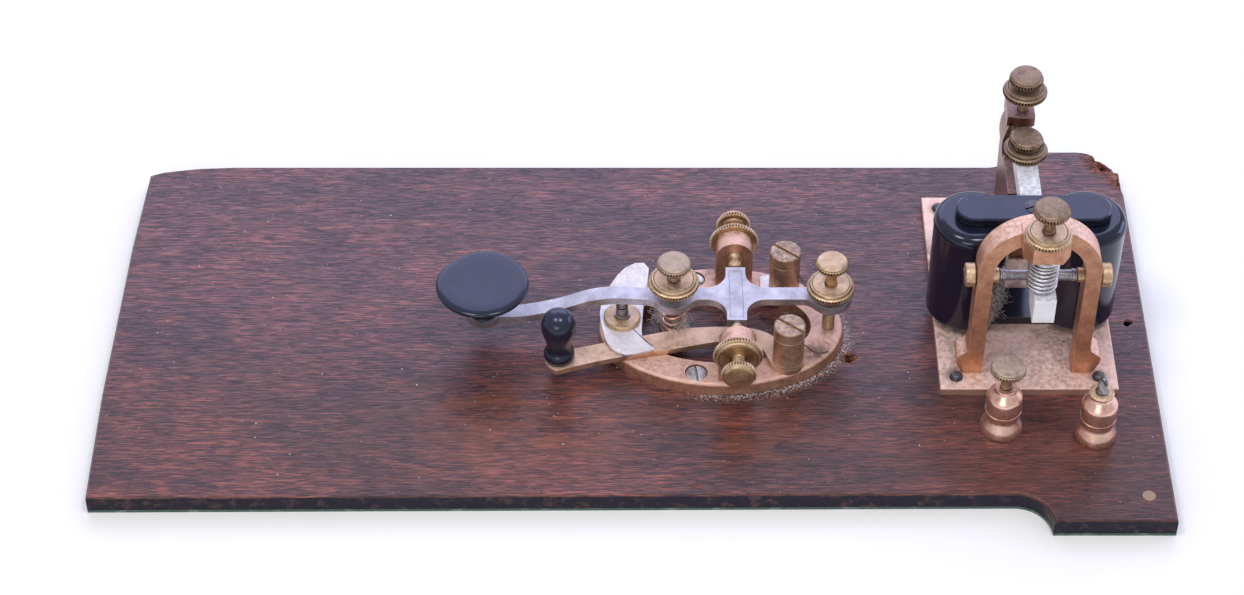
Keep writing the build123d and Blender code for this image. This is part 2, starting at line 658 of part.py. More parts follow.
with BuildPart() as arch_frame:
    with BuildSketch(side_view(sounder_x, arbor_y)):
        with BuildLine():
            Line((-leg_outer, arch_centre_z), (-leg_outer, foot_bend_z))
            Spline((-leg_outer, foot_bend_z), (-22.6, 13.2), (-foot_outer, foot_tip_z),
                   (-24.6, 6.6), (-23.0, plate_thickness), tangents=[(0, -1), (0.5, -1)])
            Line((-23.0, plate_thickness), (-leg_inner, plate_thickness))
            Line((-leg_inner, plate_thickness), (-leg_inner, arch_centre_z - 0.6))
            ThreePointArc((-leg_inner, arch_centre_z - 0.6), (0, arch_centre_z - 0.6 + arch_inner_radius),
                          (leg_inner, arch_centre_z - 0.6))
            Line((leg_inner, arch_centre_z - 0.6), (leg_inner, plate_thickness))
            Line((leg_inner, plate_thickness), (23.0, plate_thickness))
            Spline((23.0, plate_thickness), (24.6, 6.6), (foot_outer, foot_tip_z), (22.6, 13.2),
                   (leg_outer, foot_bend_z), tangents=[(0.5, 1), (0, 1)])
            Line((leg_outer, foot_bend_z), (leg_outer, arch_centre_z))
            ThreePointArc((leg_outer, arch_centre_z), (0, arch_centre_z + arch_outer_radius),
                          (-leg_outer, arch_centre_z))
        make_face()
    extrude(amount=arch_depth / 2, both=True)
    with BuildSketch(above_board(sounder_x, arch_near, boss_bottom)):
        with BuildLine():
            Polyline((-8.0, 4.0), (-8.0, -6.5), (-5.2, boss_front - arch_near), (5.2, boss_front - arch_near),
                     (8.0, -6.5), (8.0, 4.0), close=True)
        make_face()
    extrude(amount=boss_top - boss_bottom)
    with Locations(above_board(sounder_x, spring_y, boss_bottom)):
        Cylinder(adjuster_radius + turning_gap, 10, align=ON_SEAT, mode=Mode.SUBTRACT)
    for side in (-1, 1):
        with Locations(across(sounder_x, arbor_y, arbor_z, (side, 0, 0))):
            Cylinder(pivot_screw_radius + turning_gap, 30, align=ON_SEAT, mode=Mode.SUBTRACT)
    for place in arch_screw_places:
        with Locations(above_board(*place, plate_thickness)):
            Cylinder(under_screw_radius + fit_gap, 10.0, align=ON_SEAT, mode=Mode.SUBTRACT)
arch_frame.part.label = "arch_frame"
export_step(arch_frame.part, "parts/arch_frame.step")

# ------------------------------------------------------------------ electromagnet
core_radius = 4.5
bobbin_radius = 12.7
bobbin_flange = 1.2
bobbin_tube_radius = core_radius + 0.7
shell_wall = 0.7
winding_gap = 0.1
cap_overhang = 0.2
cap_rounding = 3.4

with BuildPart() as heel_iron:
    with BuildSketch(above_board(sounder_x, coil_y, plate_thickness)):
        Rectangle(53.0, 15.0)
    extrude(amount=heel_top - plate_thickness)
    for place in coil_places:
        with Locations(above_board(*place, plate_thickness)):
            Cylinder(under_screw_radius + fit_gap, 6.0, align=ON_SEAT, mode=Mode.SUBTRACT)
heel_iron.part.label = "heel_iron"
export_step(heel_iron.part, "parts/heel_iron.step")

with BuildPart() as magnet_cores:
    for place in coil_places:
        with Locations(above_board(*place, heel_top)):
            Cylinder(core_radius, pole_top - heel_top, align=ON_SEAT)
            Cylinder(under_screw_radius + fit_gap, 8.0, align=ON_SEAT, mode=Mode.SUBTRACT)
magnet_cores.part.label = "magnet_cores"
export_step(magnet_cores.part, "parts/magnet_cores.step")

with BuildPart() as coil_bobbins:
    for place in coil_places:
        with Locations(above_board(*place, heel_top)):
            Cylinder(bobbin_radius, bobbin_flange, align=ON_SEAT)
            Cylinder(bobbin_tube_radius, cap_bottom - heel_top, align=ON_SEAT)
        with Locations(above_board(*place, cap_bottom)):
            Cylinder(bobbin_radius, bobbin_flange, align=UNDER_SEAT)
            Cylinder(core_radius + fit_gap, 50, align=UNDER_SEAT, mode=Mode.SUBTRACT)
coil_bobbins.part.label = "coil_bobbins"
export_step(coil_bobbins.part, "parts/coil_bobbins.step")

with BuildPart() as coil_windings:
    for place in coil_places:
        with Locations(above_board(*place, heel_top + bobbin_flange + winding_gap)):
            winding_length = cap_bottom - heel_top - 2 * (bobbin_flange + winding_gap)
            Cylinder(bobbin_radius - 0.6, winding_length, align=ON_SEAT)
            Cylinder(bobbin_tube_radius + winding_gap, winding_length, align=ON_SEAT, mode=Mode.SUBTRACT)
coil_windings.part.label = "coil_windings"
export_step(coil_windings.part, "parts/coil_windings.step")

with BuildPart() as coil_shells:
    for place in coil_places:
        with Locations(above_board(*place, heel_top)):
            Cylinder(shell_radius, cap_bottom - heel_top, align=ON_SEAT)
            Cylinder(shell_radius - shell_wall, cap_bottom - heel_top, align=ON_SEAT, mode=Mode.SUBTRACT)
coil_shells.part.label = "coil_shells"
export_step(coil_shells.part, "parts/coil_shells.step")

with BuildPart() as coil_caps:
    for place in coil_places:
        with Locations(above_board(*place, cap_bottom)):
            Cylinder(shell_radius + cap_overhang, cap_top - cap_bottom, align=ON_SEAT)
    fillet(coil_caps.edges().filter_by(GeomType.CIRCLE).group_by(Axis.Z)[-1], cap_rounding)
    for place in coil_places:
        with Locations(above_board(*place, cap_bottom)):
            Cylinder(core_radius + fit_gap, 5, align=ON_SEAT, mode=Mode.SUBTRACT)
coil_caps.part.label = "coil_caps"
export_step(coil_caps.part, "parts/coil_caps.step")

# ------------------------------------------------------------------ sounder lever
tail_near = -38.5
tail_far = -27.0
tail_bottom = 40.8
bar_far = 56.5
arbor_radius = 1.95
arbor_half_length = 13.2
arbor_journal_radius = 1.2
arbor_journal_reach = 15.2
armature_length = 54.6
armature_width = 12.7
armature_screw_radius = 1.7

with BuildPart() as sounder_lever:
    with BuildSketch(end_view(sounder_lever_x)):
        with BuildLine():
            Polyline((tail_near, bar_top), (bar_far, bar_top), (bar_far, bar_bottom),
                     (tail_far + 3.0, bar_bottom), (tail_far, tail_bottom + 2.0),
                     (tail_far - 1.5, tail_bottom), (tail_near, tail_bottom), close=True)
        make_face()
    extrude(amount=bar_half_width, both=True)
    with Locations(across(sounder_lever_x, arbor_y, arbor_z, (1, 0, 0))):
        Cylinder(arbor_radius + fit_gap, 20, mode=Mode.SUBTRACT)
    with Locations(above_board(sounder_lever_x, down_stop_y)):
        Cylinder(adjuster_radius + turning_gap, 60, align=ON_SEAT, mode=Mode.SUBTRACT)
    with Locations(above_board(sounder_lever_x, coil_y)):
        Cylinder(armature_screw_radius + fit_gap, 60, align=ON_SEAT, mode=Mode.SUBTRACT)
    chamfer(sounder_lever.faces().sort_by(Axis.Y)[0].edges(), 0.3)
sounder_lever.part.label = "sounder_lever"
export_step(sounder_lever.part, "parts/sounder_lever.step")

with BuildPart() as pivot_arbor:
    with Locations(across(sounder_x, arbor_y, arbor_z, (1, 0, 0))):
        Cylinder(arbor_radius, 2 * arbor_half_length)
        Cylinder(arbor_journal_radius, 2 * arbor_journal_reach)
    chamfer(pivot_arbor.edges().filter_by(GeomType.CIRCLE).filter_by(
        lambda edge: edge.radius > arbor_radius - 0.01), 0.5)
pivot_arbor.part.label = "pivot_arbor"
export_step(pivot_arbor.part, "parts/pivot_arbor.step")

pivot_screw_tip = 13.6
pivot_head_start = leg_outer + 0.3
pivot_head_radius = 4.2
pivot_head_height = 3.6
for side, side_name in ((-1, "left"), (1, "right")):
    screw_plane = across(sounder_x, arbor_y, arbor_z, (side, 0, 0))
    with BuildPart() as pivot_screw:
        with Locations(screw_plane.offset(pivot_screw_tip)):
            Cylinder(pivot_screw_radius, pivot_head_start - pivot_screw_tip, align=ON_SEAT)
        with Locations(screw_plane.offset(pivot_head_start)):
            Cylinder(pivot_head_radius, pivot_head_height, align=ON_SEAT)
        chamfer(pivot_screw.edges().filter_by(GeomType.CIRCLE).filter_by(
            lambda edge: edge.radius > pivot_head_radius - 0.01), rim_chamfer)
        with Locations(screw_plane.offset(pivot_head_start + pivot_head_height)):
            Box(1.0, 10, 2.4, mode=Mode.SUBTRACT)
        with Locations(screw_plane):
            Cylinder(arbor_journal_radius + turning_gap, arbor_journal_reach + 0.3, align=ON_SEAT,
                     mode=Mode.SUBTRACT)
    pivot_screw.part.label = "pivot_screw_" + side_name
    export_step(pivot_screw.part, "parts/pivot_screw_" + side_name + ".step")

with BuildPart() as armature:
    with BuildSketch(above_board(sounder_lever_x, coil_y, bar_top)):
        SlotOverall(armature_length, armature_width)
    extrude(amount=armature_thickness)
    chamfer(armature.faces().sort_by(Axis.Z)[-1].edges(), 0.5)
    with Locations(above_board(sounder_lever_x, coil_y, bar_top)):
        Cylinder(armature_screw_radius + fit_gap, 5, align=ON_SEAT, mode=Mode.SUBTRACT)
    with Locations(above_board(sounder_lever_x, coil_y, bar_top + armature_thickness)):
        Cylinder(3.4, 1.3, align=UNDER_SEAT, mode=Mode.SUBTRACT)
armature.part.label = "armature"
export_step(armature.part, "parts/armature.step")

with BuildPart() as armature_screw:
    with Locations(above_board(sounder_lever_x, coil_y, bar_top + armature_thickness - 1.25)):
        Cylinder(3.3, 1.5, align=ON_SEAT)
        Cylinder(armature_screw_radius, 6.5, align=UNDER_SEAT)
    with Locations(above_board(sounder_lever_x, coil_y, bar_top + armature_thickness + 0.25) * Rot(0, 0, 25)):
        Box(8, 0.8, 1.2, mode=Mode.SUBTRACT)
armature_screw.part.label = "armature_screw"
export_step(armature_screw.part, "parts/armature_screw.step")

# ------------------------------------------------------------------ sounder spring and its adjuster
spring_cup_top = 66.6
spring_cup_thickness = 1.4
spring_cup_radius = 5.3
spring_cup_spigot_radius = 3.6
sounder_head_bottom = 85.6
sounder_tension_screw = finger_screw(
    above_board(sounder_x, spring_y, boss_top), adjuster_radius,
    shank_down=boss_top - spring_cup_top - 0.02, neck_up=sounder_head_bottom - boss_top, head_radius=6.35)
sounder_tension_screw.part.label = "sounder_tension_screw"
export_step(sounder_tension_screw.part, "parts/sounder_tension_screw.step")

sounder_tension_locknut = finger_nut(
    above_board(sounder_x, spring_y, boss_top + turning_gap), adjuster_radius + turning_gap,
    radius=8.05, height=3.2)
sounder_tension_locknut.part.label = "sounder_tension_locknut"
export_step(sounder_tension_locknut.part, "parts/sounder_tension_locknut.step")

with BuildPart() as spring_cup:
    with Locations(above_board(sounder_x, spring_y, spring_cup_top)):
        Cylinder(spring_cup_radius, spring_cup_thickness, align=UNDER_SEAT)
        Cylinder(spring_cup_spigot_radius, spring_cup_thickness + 1.6, align=UNDER_SEAT)
spring_cup.part.label = "spring_cup"
export_step(spring_cup.part, "parts/spring_cup.step")

sounder_spring_radius = 4.6
sounder_spring_wire = 0.62
sounder_spring_turns = 6
sounder_spring_bottom = bar_top + sounder_spring_wire + 0.05
sounder_spring_height = (
    spring_cup_top - spring_cup_thickness - sounder_spring_wire - 0.05 - sounder_spring_bottom)

with BuildPart() as sounder_spring:
    with BuildLine(above_board(sounder_x, spring_y, sounder_spring_bottom)):
        sounder_coil = Helix(
            sounder_spring_height / sounder_spring_turns, sounder_spring_height, sounder_spring_radius)
    with BuildSketch(Plane(sounder_coil @ 0, z_dir=sounder_coil % 0)):
        Circle(sounder_spring_wire)
    sweep(path=sounder_coil, is_frenet=True)
sounder_spring.part.label = "sounder_spring"
export_step(sounder_spring.part, "parts/sounder_spring.step")

# ------------------------------------------------------------------ stop screws and anvil bridge
down_stop_screw = finger_screw(
    above_board(sounder_lever_x, down_stop_y, bar_top), adjuster_radius,
    shank_down=bar_top - anvil_top - stop_gap, neck_up=4.5, head_radius=6.1)
down_stop_screw.part.label = "down_stop_screw"
export_step(down_stop_screw.part, "parts/down_stop_screw.step")

down_stop_locknut = finger_nut(
    above_board(sounder_lever_x, down_stop_y, bar_top + turning_gap), adjuster_radius + turning_gap,
    radius=8.0, height=3.3)
down_stop_locknut.part.label = "down_stop_locknut"
export_step(down_stop_locknut.part, "parts/down_stop_locknut.step")

yoke_bottom = 54.0
yoke_top = 58.4
yoke_near = 47.4
up_stop_screw = finger_screw(
    above_board(sounder_lever_x, up_stop_y, yoke_top), adjuster_radius,
    shank_down=yoke_top - bar_top - 0.02, neck_up=13.0, head_radius=6.15)
up_stop_screw.part.label = "up_stop_screw"
export_step(up_stop_screw.part, "parts/up_stop_screw.step")

up_stop_locknut = finger_nut(
    above_board(sounder_lever_x, up_stop_y, yoke_top + 7.2), adjuster_radius + turning_gap,
    radius=8.0, height=3.4)
up_stop_locknut.part.label = "up_stop_locknut"
export_step(up_stop_locknut.part, "parts/up_stop_locknut.step")

bridge_left = sounder_lever_x - 5.9
bridge_right = sounder_lever_x + 5.9
side_web_thickness = 1.8
foot_height = 6.2

with BuildPart() as anvil_bridge:
    with BuildSketch(above_board(sounder_lever_x, 45.0, plate_thickness)):
        RectangleRounded(24.0, 27.0, 3.0)
    extrude(amount=foot_height - plate_thickness)
    with BuildSketch(end_view((bridge_left + bridge_right) / 2)):
        with BuildLine():
            Line((30.0, foot_height), (33.0, 30.0))
            Spline((33.0, 30.0), (31.6, 34.0), (27.0, 36.4), tangents=[(0, 1), (-1, 0)])
            Polyline((27.0, 36.4), (27.0, anvil_top), (58.6, anvil_top))
            Spline((58.6, anvil_top), (58.2, 33.0), (54.5, foot_height), tangents=[(0, -1), (-0.2, -1)])
            Line((54.5, foot_height), (30.0, foot_height))
        make_face()
    extrude(amount=(bridge_right - bridge_left) / 2, both=True)
    with BuildSketch(end_view(bridge_left + side_web_thickness / 2)):
        with BuildLine():
            Polyline((47.0, anvil_top), (47.0, yoke_bottom - 2.0), (yoke_near, yoke_bottom),
                     (yoke_near, yoke_top), (58.0, yoke_top), (58.6, anvil_top), close=True)
        make_face()
    extrude(amount=side_web_thickness / 2, both=True)
    with BuildSketch(above_board(0, 0, yoke_bottom)):
        with BuildLine():
            Polyline((bridge_left, 58.0), (bridge_left, yoke_near), (sounder_lever_x - 4.1, yoke_near))
            ThreePointArc((sounder_lever_x - 4.1, yoke_near), (sounder_lever_x, yoke_near - 0.9),
                          (sounder_lever_x + 4.1, yoke_near))
            Polyline((sounder_lever_x + 4.1, yoke_near), (sounder_lever_x + 4.1, 58.0), (bridge_left, 58.0))
        make_face()
    extrude(amount=yoke_top - yoke_bottom)
    with Locations(above_board(sounder_lever_x, up_stop_y, yoke_bottom - 1)):
        Cylinder(adjuster_radius + turning_gap, 6, align=ON_SEAT, mode=Mode.SUBTRACT)
    for place in anvil_screw_places:
        with Locations(above_board(*place, plate_thickness)):
            Cylinder(under_screw_radius + fit_gap, 10.0, align=ON_SEAT, mode=Mode.SUBTRACT)
anvil_bridge.part.label = "anvil_bridge"
export_step(anvil_bridge.part, "parts/anvil_bridge.step")

# ------------------------------------------------------------------ binding posts
post_height = 20.7
post_thread_radius = 2.2
post_thread_depth = post_height - post_bore_height + post_bore_radius
stud_bottom = -board_top + felt_thickness + 0.3

with BuildPart() as binding_posts:
    for place in (post_left, post_right):
        with BuildSketch(side_view(*place)):
            with BuildLine():
                Polyline((0, 0), (7.4, 0), (7.4, 1.0))
                Spline((7.4, 1.0), (6.2, 4.2), (5.4, 7.2), (6.3, 9.2), tangents=[(-0.2, 1), (0.6, 1)])
                Line((6.3, 9.2), (6.3, 15.6))
                Spline((6.3, 15.6), (6.1, 17.6), (3.8, 19.9), tangents=[(0, 1), (-1, 0.3)])
                Polyline((3.8, 19.9), (3.8, post_height), (0, post_height), (0, 0))
            make_face()
        revolve(axis=upright(*place))
        with Locations(above_board(*place)):
            Cylinder(stud_radius, -stud_bottom, align=UNDER_SEAT)
        with Locations(above_board(*place, post_height)):
            Cylinder(post_thread_radius + turning_gap, post_thread_depth, align=UNDER_SEAT,
                     mode=Mode.SUBTRACT)
        with Locations(across(*place, post_bore_height, (-1, 0, 0))):
            Cylinder(post_bore_radius, 20, mode=Mode.SUBTRACT)
binding_posts.part.label = "binding_posts"
export_step(binding_posts.part, "parts/binding_posts.step")

with BuildPart() as post_stud_nuts:
    for place in (post_left, post_right):
        with BuildSketch(above_board(*place, -board_thickness + 0.4)):
            RegularPolygon(4.2, 6)
            Circle(stud_radius + fit_gap, mode=Mode.SUBTRACT)
        extrude(amount=2.4)
post_stud_nuts.part.label = "post_stud_nuts"
export_step(post_stud_nuts.part, "parts/post_stud_nuts.step")

post_screw_reach = post_height - post_bore_height - post_bore_radius - 0.3
post_thumbscrew = finger_screw(
    above_board(*post_left, post_height), post_thread_radius, post_screw_reach,
    neck_up=7.6, head_radius=6.2)
post_thumbscrew.part.label = "post_thumbscrew"
export_step(post_thumbscrew.part, "parts/post_thumbscrew.step")

with BuildPart() as post_stub_screw:
    with BuildSketch(side_view(*post_right, post_height)):
        with BuildLine():
            Polyline((0, -post_screw_reach), (post_thread_radius, -post_screw_reach),
                     (post_thread_radius, 0.1), (4.4, 0.1))
            Spline((4.4, 0.1), (4.2, 1.3), (2.1, 4.0), (1.5, 7.2), tangents=[(0, 1), (0, 1)])
            ThreePointArc((1.5, 7.2), (1.1, 8.3), (0, 8.8))
            Line((0, 8.8), (0, -post_screw_reach))
        make_face()
    revolve(axis=upright(*post_right))
    with Locations(above_board(*post_right, post_height + 5.6) * Rot(0, 0, 60)):
        Box(6, 0.7, 4.2, mode=Mode.SUBTRACT)
post_stub_screw.part.label = "post_stub_screw"
export_step(post_stub_screw.part, "parts/post_stub_screw.step")
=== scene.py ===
import math
import random

import bmesh
import bpy
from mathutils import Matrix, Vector, noise


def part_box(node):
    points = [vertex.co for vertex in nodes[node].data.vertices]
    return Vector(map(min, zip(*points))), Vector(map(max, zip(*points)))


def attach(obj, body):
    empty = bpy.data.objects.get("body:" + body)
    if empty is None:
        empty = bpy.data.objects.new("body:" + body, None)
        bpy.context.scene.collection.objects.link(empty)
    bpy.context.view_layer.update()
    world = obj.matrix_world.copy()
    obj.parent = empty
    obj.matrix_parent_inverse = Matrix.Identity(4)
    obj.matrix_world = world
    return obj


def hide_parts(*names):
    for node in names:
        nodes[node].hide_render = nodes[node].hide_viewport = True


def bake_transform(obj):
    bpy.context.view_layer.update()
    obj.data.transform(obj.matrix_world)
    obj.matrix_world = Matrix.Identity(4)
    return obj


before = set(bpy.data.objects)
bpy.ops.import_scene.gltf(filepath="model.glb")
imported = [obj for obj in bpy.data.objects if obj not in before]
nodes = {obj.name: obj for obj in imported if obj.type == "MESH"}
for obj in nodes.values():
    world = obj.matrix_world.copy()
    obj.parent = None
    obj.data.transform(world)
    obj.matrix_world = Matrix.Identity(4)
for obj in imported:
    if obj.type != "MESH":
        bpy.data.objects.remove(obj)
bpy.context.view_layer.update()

MM = 0.001
board_low, board_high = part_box("baseboard")
BOARD_TOP = board_high.z


# ------------------------------------------------------------------ materials
class Look:
    """A procedural material: named fields over the piece's own coordinates, feeding one shader."""

    def __init__(self, name):
        self.material = bpy.data.materials.new(name)
        self.material.use_nodes = True
        self.tree = self.material.node_tree
        self.shader = self.tree.nodes["Principled BSDF"]
        self.place = self.tree.nodes.new("ShaderNodeTexCoord").outputs["Object"]

    def node(self, kind, **settings):
        made = self.tree.nodes.new(kind)
        for key, value in settings.items():
            setattr(made, key, value)
        return made

    def feed(self, socket, value):
        if isinstance(value, bpy.types.NodeSocket):
            self.tree.links.new(value, socket)
        else:
            socket.default_value = value

    def noise(self, size_mm, detail=4.0, rough=0.55, stretch=(1, 1, 1), distortion=0.0, shift=0.0):
        """Cloudy field from 0 to 1 whose blobs are about size_mm wide, times the stretch on each axis."""
        mapping = self.node("ShaderNodeMapping")
        self.feed(mapping.inputs["Vector"], self.place)
        scale = [1 / (size_mm * MM * s) for s in stretch]
        mapping.inputs["Scale"].default_value = scale
        mapping.inputs["Location"].default_value = (shift, shift * 0.7, shift * 1.3)
        made = self.node("ShaderNodeTexNoise")
        self.feed(made.inputs["Vector"], mapping.outputs["Vector"])
        made.inputs["Scale"].default_value = 1.0
        made.inputs["Detail"].default_value = detail
        made.inputs["Roughness"].default_value = rough
        made.inputs["Distortion"].default_value = distortion
        return made.outputs["Fac"]

    def band(self, value, low, high):
        """0 below low, 1 above high, smooth between."""
        made = self.node("ShaderNodeMapRange", interpolation_type="SMOOTHSTEP")
        self.feed(made.inputs["Value"], value)
        made.inputs["From Min"].default_value = low
        made.inputs["From Max"].default_value = high
        return made.outputs["Result"]

    def math(self, operation, a, b=0.0):
        made = self.node("ShaderNodeMath", operation=operation)
        self.feed(made.inputs[0], a)
        self.feed(made.inputs[1], b)
        return made.outputs["Value"]

    def mix(self, share, low, high, blend="MIX"):
        made = self.node("ShaderNodeMix", data_type="RGBA", blend_type=blend)
        self.feed(made.inputs["Factor"], share)
        for socket, value in ((made.inputs[6], low), (made.inputs[7], high)):
            self.feed(socket, value if isinstance(value, bpy.types.NodeSocket) else (*value, 1.0))
        return made.outputs[2]

    def ramp(self, value, *stops):
        """Colour ramp through (position, colour) stops."""
        made = self.node("ShaderNodeValToRGB")
        elements = made.color_ramp.elements
        while len(elements) < len(stops):
            elements.new(0.5)
        for element, (position, colour) in zip(elements, stops):
            element.position = position
            element.color = (*colour, 1.0)
        self.feed(made.inputs["Fac"], value)
        return made.outputs["Color"]

    def upness(self):
        """1 on faces that look up, 0 on upright ones, with fine detail in the surface left out."""
        geometry = self.node("ShaderNodeNewGeometry")
        split = self.node("ShaderNodeSeparateXYZ")
        self.feed(split.inputs[0], geometry.outputs["Normal"])
        return self.band(split.outputs["Z"], 0.25, 0.9)

    def along(self, axis):
        """Coordinate along one axis, in metres."""
        split = self.node("ShaderNodeSeparateXYZ")
        self.feed(split.inputs[0], self.place)
        return split.outputs[axis]

    def spot(self, centre_mm, radius_mm, softness_mm, squash=(1, 1, 1)):
        """1 inside a round patch about a place, 0 outside."""
        offset = self.node("ShaderNodeVectorMath", operation="SUBTRACT")
        self.feed(offset.inputs[0], self.place)
        offset.inputs[1].default_value = [v * MM for v in centre_mm]
        scaled = self.node("ShaderNodeVectorMath", operation="DIVIDE")
        self.feed(scaled.inputs[0], offset.outputs[0])
        scaled.inputs[1].default_value = squash
        length = self.node("ShaderNodeVectorMath", operation="LENGTH")
        self.feed(length.inputs[0], scaled.outputs[0])
        far = self.band(length.outputs["Value"], (radius_mm - softness_mm) * MM, radius_mm * MM)
        return self.math("SUBTRACT", 1.0, far)

    def scribed_frame(self, centre_mm, half_size_mm):
        """1 on a thin scribed rectangle seen from above."""
        reaches = []
        for axis, middle, half in zip("XY", centre_mm, half_size_mm):
            offset = self.math("ABSOLUTE", self.math("SUBTRACT", self.along(axis), middle * MM))
            reaches.append(self.math("SUBTRACT", offset, half * MM))
        beyond = self.math("ABSOLUTE", self.math("MAXIMUM", *reaches))
        return self.math("SUBTRACT", 1.0, self.band(beyond, 0.10 * MM, 0.30 * MM))

    def edges(self, width_mm=0.5):
        """1 along convex and concave edges, 0 on flats."""
        bevel = self.node("ShaderNodeBevel", samples=4)
        bevel.inputs["Radius"].default_value = width_mm * MM
        geometry = self.node("ShaderNodeNewGeometry")
        dot = self.node("ShaderNodeVectorMath", operation="DOT_PRODUCT")
        self.feed(dot.inputs[0], bevel.outputs["Normal"])
        self.feed(dot.inputs[1], geometry.outputs["Normal"])
        flatness = self.band(dot.outputs["Value"], 0.82, 0.99)
        return self.math("SUBTRACT", 1.0, flatness)

    def crevice(self, reach_mm):
        """1 in corners and grooves, 0 in the open."""
        shade = self.node("ShaderNodeAmbientOcclusion", samples=4)
        shade.inputs["Distance"].default_value = reach_mm * MM
        return self.math("SUBTRACT", 1.0, self.band(shade.outputs["AO"], 0.30, 0.85))

    def groove(self):
        """1 in the valleys of a finely cut surface such as a knurl, 0 on flats and ridges."""
        geometry = self.node("ShaderNodeNewGeometry")
        return self.math("SUBTRACT", 1.0, self.band(geometry.outputs["Pointiness"], 0.45, 0.495))

    def bump(self, height, depth_mm, normal=None):
        made = self.node("ShaderNodeBump")
        made.inputs["Distance"].default_value = depth_mm * MM
        self.feed(made.inputs["Height"], height)
        if normal is not None:
            self.feed(made.inputs["Normal"], normal)
        return made.outputs["Normal"]

    def finish(self, colour, roughness, metallic=0.0, normal=None, **other):
        self.feed(self.shader.inputs["Base Color"], colour)
        self.feed(self.shader.inputs["Roughness"], roughness)
        self.feed(self.shader.inputs["Metallic"], metallic)
        if normal is not None:
            self.feed(self.shader.inputs["Normal"], normal)
        for key, value in other.items():
            self.feed(self.shader.inputs[key.replace("_", " ")], value)
        return self.material


